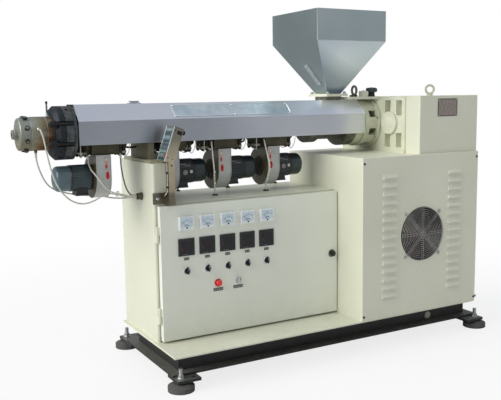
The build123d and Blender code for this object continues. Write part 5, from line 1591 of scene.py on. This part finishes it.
# %% Scroll seams and intakes
shape = bmesh.new()
for x, side in zip(blower_x, blower_side):
    mouth = facing((x - side * SCROLL_THICK / 2, 0, blower_z), (-side, 0, 0))
    add_turned(shape, mouth, [(38, -2), (44, 0), (43, 2.4), (39, 2.4), (38, 0)], 40, 0)
    for radius in (10, 19, 28):
        add_turned(shape, moved(mouth, z=-1.8), [
            (radius, 0), (radius + 1, 1), (radius + 2, 0),
        ], 30, 1)
    for n in range(3):
        bar = moved(mouth, turn=60 * n, z=-1.6)
        add_tube(shape, [bar @ Vector((-39, 0, 0)), bar @ Vector((39, 0, 0))], 1.1, 6, 1)
    add_turned(shape, moved(mouth, z=-2.9), [(0, 0), (37.8, 0), (37.8, 0.6), (0, 0.6)], 40, 2)
    for edge in (-1, 1):
        edge_x = x + edge * (SCROLL_THICK / 2 - 1)
        path = [(edge_x, -SCROLL_RADIUS, duct_low.z)]
        for n in range(37):
            turn = math.radians(270 - 7.5 * n)
            y, z = SCROLL_RADIUS * math.sin(turn), SCROLL_RADIUS * math.cos(turn)
            path.append((edge_x, y, blower_z + z))
        add_tube(shape, path, 1.5, 6, 3)
trim_looks = ["scroll_side", "scroll_side", "scroll_side", "scroll_grey"]
finish_piece("scroll_trim", shape, trim_looks)

# %% [markdown]
# The keypad's face looks at the die. It has a pale cap strip, three dark windows, rows of grey
# keys, and green and red ones along the bottom. A bright bead runs down both of its edges; it
# also stands for the highlight that those edges catch, a painted highlight. The face is drawn on
# one matrix that leans with it.

# %% Keypad face
pad_low, pad_high = drawn_box("keypad")
arm_low, arm_high = drawn_box("keypad_arm")
KEYPAD_TILT, KEYPAD_DEEP = math.radians(19.5), 42.0
face_up = Vector((math.sin(KEYPAD_TILT), 0, math.cos(KEYPAD_TILT)))
face_out = Vector((-math.cos(KEYPAD_TILT), 0, math.sin(KEYPAD_TILT)))
pad = facing((pad_low.x, (pad_low.y + pad_high.y) / 2, pad_low.z), face_out, face_up)
shape = bmesh.new()
add_box(shape, moved(pad, 0, 4 + 66, -0.4), (66, 132, 1.8), 0.6, 0)
add_box(shape, moved(pad, 0, 129, 1.2), (62, 12, 1.6), 0.5, 1)
for y, tall in ((113, 13), (82, 8), (68, 9)):
    add_box(shape, moved(pad, 0, y, 1.2), (58, tall, 1.2), 0.4, 2)
for y, tall, look in ((97, 13, 1), (54, 9, 3), (41, 9, 1)):
    for column in range(4):
        add_box(shape, moved(pad, -22.5 + 15 * column, y, 1.2), (12, tall, 2.4), 0.8, look)
for column, look in enumerate((4, 4, 4, 5)):
    add_box(shape, moved(pad, -22.5 + 15 * column, 26, 1.2), (12, 11, 2.4), 0.8, look)
for column in (-1, 1):
    add_box(shape, moved(pad, 15 * column, 12, 1.2), (24, 7, 1.4), 0.5, 6)
finish_piece("keypad_face", shape, [
    "keypad_panel", "key_grey", "display_glass", "key_dark", "key_green", "sticker_red",
    "dark_fitting",
])

# Painted highlight: bright beads down both edges of the keypad, for the light that they catch.
shape = bmesh.new()
for y in (pad_low.y + 0.2, pad_high.y - 0.2):
    start = Vector((pad_low.x + 0.5, y, pad_low.z))
    add_tube(shape, [start + face_up * 2, start + face_up * 141], 1.8, 8)
finish_piece("keypad_edge_bead_highlights", shape, ["weld_bright"])

shape = bmesh.new()
side_origin = Vector((pad_low.x, pad_low.y, pad_low.z))
knob_place = side_origin + Vector((0, 14, 0)) + face_up * 130 - face_out * KEYPAD_DEEP
knob = facing(knob_place, -face_out, face_up)
add_turned(shape, moved(knob, z=-1), [
    (0, 0), (10, 0), (10, 4), (8.5, 5), (8.5, 11), (7, 13), (0, 13),
], 24)
hatch = facing(side_origin + face_up * 124 - face_out * 28, FRONT, face_up)
add_box(shape, moved(hatch, z=-0.4), (21, 15, 2.6), 1, 0)
add_screw(shape, moved(hatch, z=2), 4.5, 2, 1)
for up_side, in_side in ((20, 10), (20, 30), (128, 9)):
    place = side_origin + face_up * up_side - face_out * in_side
    add_rivet(shape, facing(place, FRONT, face_up), 2.6, 1.3, 1)
finish_piece("keypad_fittings", shape, ["black_rubber", "dark_fitting"])

# %% [markdown]
# The arm's bracket is held by two bolts. A thin lead runs down the arm's side from the keypad, held
# by two clips, and goes into the bracket. The cables' gland has a hexagon collar and a rubber ring.

# %% Arm and gland fittings
upright_x, upright_front = arm_low.x + 45, arm_low.y
shape = bmesh.new()
for x in (arm_low.x + 17, arm_low.x + 78):
    bolt = facing((x, arm_high.y - 6, 738), FRONT)
    add_turned(shape, moved(bolt, z=-0.2), [(0, 0), (9.5, 0), (9.5, 1.6), (0, 1.6)], 24, 1)
    add_nut(shape, moved(bolt, z=1.2, turn=12), 13, 7, 3, 0)
for z in (842, 786):
    add_box(shape, facing((upright_x + 0.3, -231, z), LEFT), (13, 8, 7.4), 1, 2)
    add_rivet(shape, facing((upright_x, -221, z), LEFT), 2.6, 1.4, 0)
for z in (752, 870):
    add_screw(shape, facing((upright_x + 13, upright_front, z), FRONT), 4.2, 1.6, 1)
finish_piece("arm_bolts", shape, ["zinc_plated", "brown_bracket", "dark_fitting"])

shape = bmesh.new()
lead = round_bend([
    (upright_x - 3.3, -231, pad_low.z + 2), (upright_x - 3.3, -231, 770),
    (upright_x - 8, -214, 752), (upright_x - 8, -184, 744),
], 14)
add_tube(shape, lead, 2.7, 8, 0)
add_tube(shape, [point + Vector((-0.8, -3.4, 0)) for point in lead[:-1]], 1.2, 6, 1)
finish_piece("keypad_lead", shape, ["black_rubber", "white_sleeve"])

GLAND_Y, GLAND_Z = -58, 737
gland = facing((-533, GLAND_Y, GLAND_Z), LEFT)
shape = bmesh.new()
add_nut(shape, moved(gland, z=-0.2), 30, 6, 0, 0)
add_turned(shape, moved(gland, z=5.6), [
    (11.5, 0), (13.8, 0), (13.8, 12.6), (12.7, 16), (11.5, 16), (11.5, 0),
], 28, 0, lambda turn: 1 - 0.03 * (1 - math.cos(14 * turn)) / 2)
add_turned(shape, moved(gland, z=21.4), [
    (0, 0), (11.2, 0), (11.2, 1.4), (9.4, 2.2), (0, 2.2),
], 24, 1)
finish_piece("gland_nut", shape, ["gland_metal", "black_rubber"])

# %% [markdown]
# White ties bundle the cables, and small sleeves show where each one leaves the die or a heater. A
# tie is a thin ring with its square head.

# %% Cable ties and sleeves
shape = bmesh.new()
for place, along, reach in (
    ((-566, GLAND_Y, GLAND_Z), RIGHT, 8.6), ((-641, -75.2, 755), (1, 0.2, -0.24), 9.6),
):
    tie = facing(place, along)
    add_turned(shape, moved(tie, z=-2.2), [
        (reach, 0), (reach + 1.1, 0), (reach + 1.1, 4.4), (reach, 4.4), (reach, 0),
    ], 24)
    add_box(shape, moved(tie, 0, reach, -3), (6, 5, 6), 0.6)
for place, out in (
    ((-936, -67, 1021), (0, -1, 0)), ((-934, 0, 930), (0, 0, -1)),
    ((-744, -42, 916), (0, 0, -1)), ((-611, -42, 916), (0, 0, -1)),
):
    add_turned(shape, facing(place, out, (0, 0, 1) if out[1] else (0, 1, 0)), [
        (3.1, 0), (5.2, 0), (5.2, 7), (4.4, 9), (4.4, 19), (3.6, 22), (3.1, 22), (3.1, 0),
    ], 16)
finish_piece("cable_ties", shape, ["white_sleeve"])

# %% [markdown]
# The two stiff white wires and the three short black leads share a CAD node. They are drawn again
# as tubes in their own colours, with the small knots where each wire is tied.

# %% Stiff wires and motor leads
ROOF = 715.0
white_feet = ((-206.5, -64), (51, -54))
lead_feet = ((-276, 167), (-33, 149), (235, 174))
shape = bmesh.new()
for foot, bend, end, bend_z in (
    (white_feet[0], (-222, -94), (-228, -84), AXIS - 170),
    (white_feet[1], (40, -112), (26, -84), AXIS - 174),
):
    start, stop = Vector((*foot, ROOF + 27)), Vector((*bend, bend_z))
    line = [(*foot, ROOF + 3), start, stop, (*end, AXIS - 54)]
    add_tube(shape, round_bend(line, 22, 6), 3.0, 10, 0)
    for share in (0.3, 0.86):
        knot = facing(start.lerp(stop, share), (1, -0.5, 0.1))
        add_turned(shape, moved(knot, z=-3), [(0, 0), (4.6, 1), (4.6, 5), (3, 9), (0, 9)], 12, 0)
    for share in (0.55, 0.7):
        band = facing(start.lerp(stop, share), stop - start, (0, 1, 0))
        add_turned(shape, moved(band, z=-2), [(0, 0), (4.2, 0), (4.2, 4), (0, 4)], 12, 0)
for x, foot in zip(blower_x[1:], lead_feet):
    box_x, lead_z = x + SCROLL_THICK / 2 + 33, blower_z - 60
    line = [(box_x, 20, lead_z), (box_x, 37, lead_z), (*foot, lead_z), (*foot, ROOF + 3)]
    add_tube(shape, round_bend(line, 12, 5), 4.2, 10, 1)
    add_turned(shape, facing((box_x, 21, lead_z), (0, 1, 0)), [
        (0, 0), (7, 0), (7, 4), (5, 7), (0, 7),
    ], 16, 1)
wires = finish_piece("stiff_wires", shape, ["white_sleeve", "black_rubber"])
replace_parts(wires, "zone_wires")

shape = bmesh.new()
for feet, radius in ((white_feet, 11), (lead_feet, 9)):
    for x, y in feet:
        add_turned(shape, standing(x, y, ROOF - 0.2), [
            (radius - 2, 0), (radius + 3, 0), (radius + 3, 1.4), (radius + 0.6, 2.6),
            (radius - 0.6, 5.8), (radius - 2, 5.8), (radius - 2, 0),
        ], 24)
finish_piece("roof_grommets", shape, ["black_rubber"])

# %% [markdown]
# Now the door. It swings, so everything on it rides the door's body. An ammeter's face is a pale
# blue dial behind a white frame, with a scale, a needle at rest, a white strip below and a black
# pivot. What is printed lies on the dial as very thin sheets, all turned to look forwards.

# %% Ammeter faces
door_low, door_high = drawn_box("cabinet_door")
door_front = door_low.y
columns = [door_low.x + 108 + 92.3 * n for n in range(5)]
meter_z, controller_z, switch_z, lower_z = (door_high.z - drop for drop in (72, 169.5, 267, 334))
lamp_x, selector_x = (columns[1] + columns[2]) / 2, (columns[2] + columns[3]) / 2


def add_arc(shape, where, radius, wide, first, last, look, steps=14):
    """A flat printed arc: a band between two angles, in degrees from the matrix's X."""
    before = None
    for n in range(steps + 1):
        turn = math.radians(first + (last - first) * n / steps)
        ray = Vector((math.cos(turn), math.sin(turn), 0))
        pair = [shape.verts.new(where @ (ray * reach)) for reach in (radius, radius + wide)]
        if before:
            shape.faces.new((before[0], before[1], pair[1], pair[0])).material_index = look
        before = pair


def add_text(shape, where, words, size, look):
    """Flat printed figures, made a mesh and laid on a matrix."""
    curve = bpy.data.curves.new("figures", "FONT")
    curve.body, curve.size, curve.resolution_u = words, size, 2
    curve.align_x, curve.align_y = "CENTER", "CENTER"
    stand = bpy.data.objects.new("figures", curve)
    scene.collection.objects.link(stand)
    bpy.context.view_layer.update()
    flat = bpy.data.meshes.new_from_object(stand)
    flat.transform(where)
    first = len(shape.faces)
    shape.from_mesh(flat)
    shape.faces.ensure_lookup_table()
    for face in shape.faces[first:]:
        face.material_index = look
    bpy.data.objects.remove(stand)
    bpy.data.meshes.remove(flat)
    bpy.data.curves.remove(curve)


meters, prints = bmesh.new(), bmesh.new()
for x in columns:
    front = facing((x, door_front - 12, meter_z), FRONT)
    add_plate(meters, moved(front, z=-0.6), 60, 51, 2.2, 2.4, 0.9)
    add_box(meters, moved(front, y=-19.5, z=0.4), (54, 9, 1.0), 0.4, 0)
    add_turned(meters, moved(front, y=-18, z=1.2), [
        (0, 0), (3.6, 0), (3.6, 0.8), (2.8, 1.2), (0, 1.2),
    ], 20, 2)
    pivot = moved(front, y=-15, z=0.9)
    add_arc(prints, pivot, 25, 0.8, 42, 138, 0)
    add_arc(prints, pivot, 8, 2.2, 15, 165, 0)
    for n in range(11):
        turn = 42 + 9.6 * n
        add_arc(prints, pivot, 25.8, 1.6 if n % 5 else 3.2, turn - 0.7, turn + 0.7, 0, 1)
    for n, words in enumerate(("20", "10", "0")):
        turn = math.radians(42 + 48 * n)
        add_text(prints, moved(pivot, 31.5 * math.cos(turn), 31 * math.sin(turn)), words, 5.2, 0)
    needle = moved(pivot, z=0.1, turn=132)
    add_box(meters, moved(needle, 15, 0, -0.2), (24, 0.8, 0.5), 0, 2)
meter_looks = ["meter_white", "meter_blue", "black_plastic"]
finish_piece("ammeter_faces", meters, meter_looks, "door")
finish_piece("ammeter_prints", prints, ["print_dark"], "door", front=FRONT)

# %% [markdown]
# The temperature controllers are black, with a smoked window, two unlit displays, three small lamps
# and four keys. Under each one, and under the lamp and the selector, is a small black label. Its
# pale blocks only stand for words.

# %% Controller faces and labels
shape = bmesh.new()
for x in columns:
    front = facing((x, door_front - 5, controller_z), FRONT)
    add_box(shape, moved(front, z=-0.4), (49.2, 49.2, 0.9), 0.3, 0)
    add_box(shape, moved(front, y=11, z=0.3), (40, 15, 0.6), 0.2, 1)
    add_box(shape, moved(front, x=3, y=-6, z=0.3), (32, 11, 0.6), 0.2, 1)
    for n in range(3):
        add_box(shape, moved(front, -20, -2 - 5 * n, 0.3), (2.6, 2.6, 0.5), 0, 3)
    for n in range(4):
        add_box(shape, moved(front, -17 + 11.4 * n, -19.5, 0.3), (7.5, 4.4, 1.1), 0.5, 2)
    for n in range(4):
        add_box(shape, moved(front, -19 + 6 * n, -29.6, 0.8), (4, 1.4, 0.5), 0, 4)
finish_piece("controller_faces", shape, [
    "window_smoke", "display_off", "key_night", "lamp_dull", "label_grey",
], "door")

labels = [(x, controller_z - 48, 22, 11, 2) for x in columns]
labels += [(x, lower_z - 27, 44, 13, 4) for x in (lamp_x, selector_x)]
shape = bmesh.new()
for x, z, width, tall, blocks in labels:
    tag = facing((x, door_front + 0.2, z), FRONT)
    add_box(shape, tag, (width, tall, 1.3), 0.4, 0)
    for n in range(blocks):
        aside = (n - (blocks - 1) / 2) * (width - 3) / blocks
        add_box(shape, moved(tag, aside, 0, 1.2), ((width - 3) / blocks - 2.6, tall - 5, 0.3), 0, 1)
finish_piece("door_labels", shape, ["label_black", "label_print"], "door")

# %% [markdown]
# Each switch gets a turned ring with a bright lip, and a white line on its pointer that turns with
# the knob. The lamp gets a ring, and the lock a washer and a cap with a pale line.

# %% Switch rings and marks
shape = bmesh.new()
ring_line = [
    (12.9, 3), (12.9, 4.8), (14, 5.2), (15.6, 4.4), (16.4, 2), (16.4, -0.2), (15, -0.2), (12.9, 3),
]
for x, z in [(x, switch_z) for x in columns] + [(selector_x, lower_z)]:
    add_turned(shape, facing((x, door_front, z), FRONT), ring_line, 40)
finish_piece("switch_rings", shape, ["ring_silver"], "door")

for number, x in enumerate(columns, start=1):
    shape = bmesh.new()
    add_box(shape, facing((x, door_front - 20.2, switch_z + 9), FRONT), (1.6, 11, 0.6), 0.1)
    body = f"switch_{number}"
    finish_piece(f"switch_mark_{number}", shape, ["label_white"], body)
shape = bmesh.new()
add_box(shape, facing((selector_x, door_front - 20.2, lower_z + 9), FRONT), (1.8, 11, 0.6), 0.1)
finish_piece("selector_mark", shape, ["print_dark"], "selector")

shape = bmesh.new()
add_turned(shape, facing((lamp_x, door_front - 3.8, lower_z), FRONT), [
    (12, 0), (12.9, 0), (12.9, 2.4), (12.4, 3), (12, 3), (12, 0),
], 36)
add_turned(shape, facing((lamp_x, door_front, lower_z), FRONT), ring_line, 40)
finish_piece("lamp_ring", shape, ["ring_red"], "door")

lock = facing((door_high.x - 28, door_front, door_high.z - 276), FRONT)
shape = bmesh.new()
add_turned(shape, lock, [(14, -0.2), (17, -0.2), (17, 0.6), (14, 0.9), (14, -0.2)], 32)
finish_piece("lock_washer", shape, ["dark_fitting"], "door")
shape = bmesh.new()
add_turned(shape, moved(lock, z=15), [(0, -0.2), (7, -0.2), (7, 0.7), (5.6, 1.2), (0, 1.2)], 24)
add_box(shape, moved(lock, y=1, z=16), (1.6, 7, 0.5), 0.1, 1)
finish_piece("lock_cap", shape, ["black_rubber", "label_grey"], "lock")

# %% [markdown]
# Behind the door's edge a flat black rubber tape is stuck to the frame. It shows as the dark line
# under the door and beside it, and also stands for the shadow in the gap round the door: painted
# shadow. Along the top it lies lower, out of sight. The hinges get rivets and the caps of their
# pins.

# %% Door seal and hinges
side_low, side_high = drawn_box("door_frame_sides")
frame_front = side_low.y
# Painted shadow: the black tape also stands for the shade in the gap round the door.
shape = bmesh.new()
seal_left, seal_right = side_low.x + 1, side_high.x - 0.5
SEAL_INNER, SEAL_LOW, SEAL_HIGH = 313, 178, 684
for x_low, x_high, z_low, z_high in (
    (seal_left, seal_right, side_low.z + 0.5, SEAL_LOW),
    (seal_left, seal_right, SEAL_HIGH, SEAL_HIGH + 20),
    (SEAL_INNER, seal_right, SEAL_LOW, SEAL_HIGH),
):
    middle = facing(((x_low + x_high) / 2, frame_front + 0.2, (z_low + z_high) / 2), FRONT)
    add_box(shape, middle, (x_high - x_low, z_high - z_low, 0.7), 0.2)
post_low, post_high = drawn_box("end_post")
middle = facing(((post_low.x + 14 + post_high.x) / 2, frame_front + 0.2, 166.5), FRONT)
add_box(shape, middle, (post_high.x - post_low.x - 14, 22, 0.7), 0.2)
finish_piece("door_seal_and_gap_shadow", shape, ["black_rubber"])

leaf_low, _ = drawn_box("hinge_leaves")
shape = bmesh.new()
for middle_z in (door_low.z + 104, door_high.z - 112):
    for z in (middle_z - 22, middle_z - 9):
        add_rivet(shape, facing((leaf_low.x, -187, z), LEFT), 3.2, 1.2)
    pin = standing(leaf_low.x + 6.5, -196, middle_z)
    add_turned(shape, moved(pin, z=30.6), [(0, 0), (4.6, 0), (4.6, 0.8), (3.4, 1.6), (0, 1.6)], 16)
    add_turned(shape, moved(pin, z=-32.2), [(0, 0), (3.4, 0), (4.6, 0.8), (4.6, 1.6), (0, 1.6)], 16)
finish_piece("hinge_rivets", shape, ["cream_enamel"])

# %% [markdown]
# The fan's guard is welded from wire: thirteen rings, crossed by four pairs of straight wires. Two
# of the pairs run on to the ears. It is drawn afresh here with thin round wires, in place of the
# CAD guard, which has fewer and thicker ones.

# %% Fan guard
panel_low, panel_high = drawn_box("fan_panel")
guard_low, guard_high = drawn_box("fan_guard")
fan_x, fan_z = (guard_low.x + guard_high.x) / 2, (guard_low.z + guard_high.z) / 2
panel_front = guard_high.y
ring_depth, wire = guard_low.y + 1.2, 1.05
RINGS, FIRST_RING, RING_PITCH, EAR = 13, 14, 8.7, 97
shape = bmesh.new()
for n in range(RINGS):
    radius = FIRST_RING + RING_PITCH * n
    round_wire = []
    for k in range(7):
        turn = math.tau * k / 6
        round_wire.append((radius + wire * math.cos(turn), wire * math.sin(turn)))
    add_turned(shape, facing((fan_x, ring_depth, fan_z), FRONT), round_wire, 60)
for n in range(4):
    turn = math.radians(45 * n)
    along = Vector((math.cos(turn), 0, math.sin(turn)))
    aside = Vector((-math.sin(turn), 0, math.cos(turn)))
    reach = 134 if n % 2 else 119.6
    for side in (-4.5, 4.5):
        middle = Vector((fan_x, ring_depth + 1.7, fan_z)) + aside * side
        add_tube(shape, [middle - along * reach, middle + along * reach], 1.15, 6)
for x in (-EAR, EAR):
    for z in (-EAR, EAR):
        add_turned(shape, facing((fan_x + x, panel_front, fan_z + z), FRONT), [
            (0, 0.1), (6.4, 0.1), (6.4, 5.2), (5.6, 6), (0, 6),
        ], 20)
guard = finish_piece("guard_wires", shape, ["guard_wire"])
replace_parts(guard, "fan_guard")

# %% [markdown]
# Every louvre is a pressed hood whose mouth opens downwards. A thin dark strip just inside the
# hood's lower edge stands for the mouth's gap and for the shadow under the hood: painted shadow.

# %% Louvre mouths and shadows
LOUVRE_PITCH, LOUVRE_WIDE, LOUVRE_TALL, LOUVRES_ASIDE = 37.5, 76.0, 21.0, 187
panel_x, panel_z = (panel_low.x + panel_high.x) / 2, (panel_low.z + panel_high.z) / 2
louvres = int((panel_high.z - panel_low.z - 140 - LOUVRE_TALL) / LOUVRE_PITCH) + 1
shape = bmesh.new()
for side in (-1, 1):
    for n in range(louvres):
        z = panel_z + 7 + LOUVRE_PITCH * (n - (louvres - 1) / 2) - LOUVRE_TALL / 2
        mouth = hanging(panel_x + side * LOUVRES_ASIDE, panel_front - 0.2, z + 0.2)
        # Painted shadow: a dark strip under each hood, for its mouth and the shade below it.
        add_box(shape, moved(mouth, y=-3.6), (LOUVRE_WIDE - 3, 7.0, 0.5), 0)
print(2 * louvres, "louvres")
finish_piece("louvre_mouth_shadows", shape, ["louvre_mouth_shadow"])

# %% [markdown]
# The motor cabinet's panel has a black screw in each corner and four small painted ones above and
# below the fan. The guard's ears have flat screws.

# %% Panel screws
shape = bmesh.new()
for x in (panel_low.x + 9, panel_high.x - 10):
    for z in (panel_low.z + 19, panel_high.z - 25):
        add_turned(shape, facing((x, panel_front + 0.2, z), FRONT), [
            (0, 0), (5.4, 0), (5.4, 1.4), (4.4, 2.4), (3, 2.6), (2.6, 1.4), (0, 1.4),
        ], 22)
finish_piece("panel_screws", shape, ["black_plastic"])

shape = bmesh.new()
for x in (-EAR, EAR):
    for z in (-EAR, EAR):
        add_turned(shape, facing((fan_x + x, guard_low.y + 1.6, fan_z + z), FRONT), [
            (0, 0), (4.6, 0), (4.6, 1.6), (3.8, 2.1), (0, 2.1),
        ], 20)
for x in (-28, 28):
    for z in (-169, 169):
        add_rivet(shape, facing((fan_x + x, panel_front + 0.2, fan_z + z), FRONT), 4.6, 3, 1)
finish_piece("guard_screws", shape, ["weld_bright", "cream_enamel"])

# %% [markdown]
# Last the base: the pale plastic cap in the front rail's web, the plugged hole in each foot plate,
# and the threads and washers of the levelling feet.

# %% Base fittings
base_low, base_high = drawn_box("base_long_rails")
shape = bmesh.new()
add_turned(shape, facing((813, base_low.y + 42, 80), FRONT), [
    (0, -0.5), (17.5, -0.5), (17.5, 3), (16, 4.6), (13, 5), (12.4, 4.2), (0, 4.2),
], 36)
finish_piece("web_cap", shape, ["cap_grey"])

shape = bmesh.new()
for x in (base_low.x + 28, base_high.x - 22):
    for y in (base_low.y - 15, base_high.y + 75):
        stud = standing(x, y, base_low.z)
        add_turned(shape, moved(stud, z=-0.1), [
            (9, 0), (17.5, 0), (17.5, 1.8), (9, 1.8), (9, 0),
        ], 28)
        for n in range(9):
            add_turned(shape, moved(stud, z=14 + 2.6 * n), [(7.4, 0), (8.7, 1.3), (7.4, 2.6)], 16)
finish_piece("stud_threads", shape, ["zinc_plated"])

shape = bmesh.new()
for x in (base_low.x + 78, base_high.x - 78):
    for y in (base_low.y - 26, base_high.y + 60):
        add_turned(shape, standing(x, y, base_low.z - 0.2), [
            (0, 0), (9, 0), (8.4, 0.9), (6, 1.2), (5.4, 0.6), (0, 0.6),
        ], 20)
finish_piece("plate_plugs", shape, ["dark_fitting"])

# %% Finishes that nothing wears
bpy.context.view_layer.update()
worn = {slot.material for piece in scene.objects for slot in piece.material_slots}
print("finishes that nothing wears", [name for name, look in finishes.items() if look not in worn])
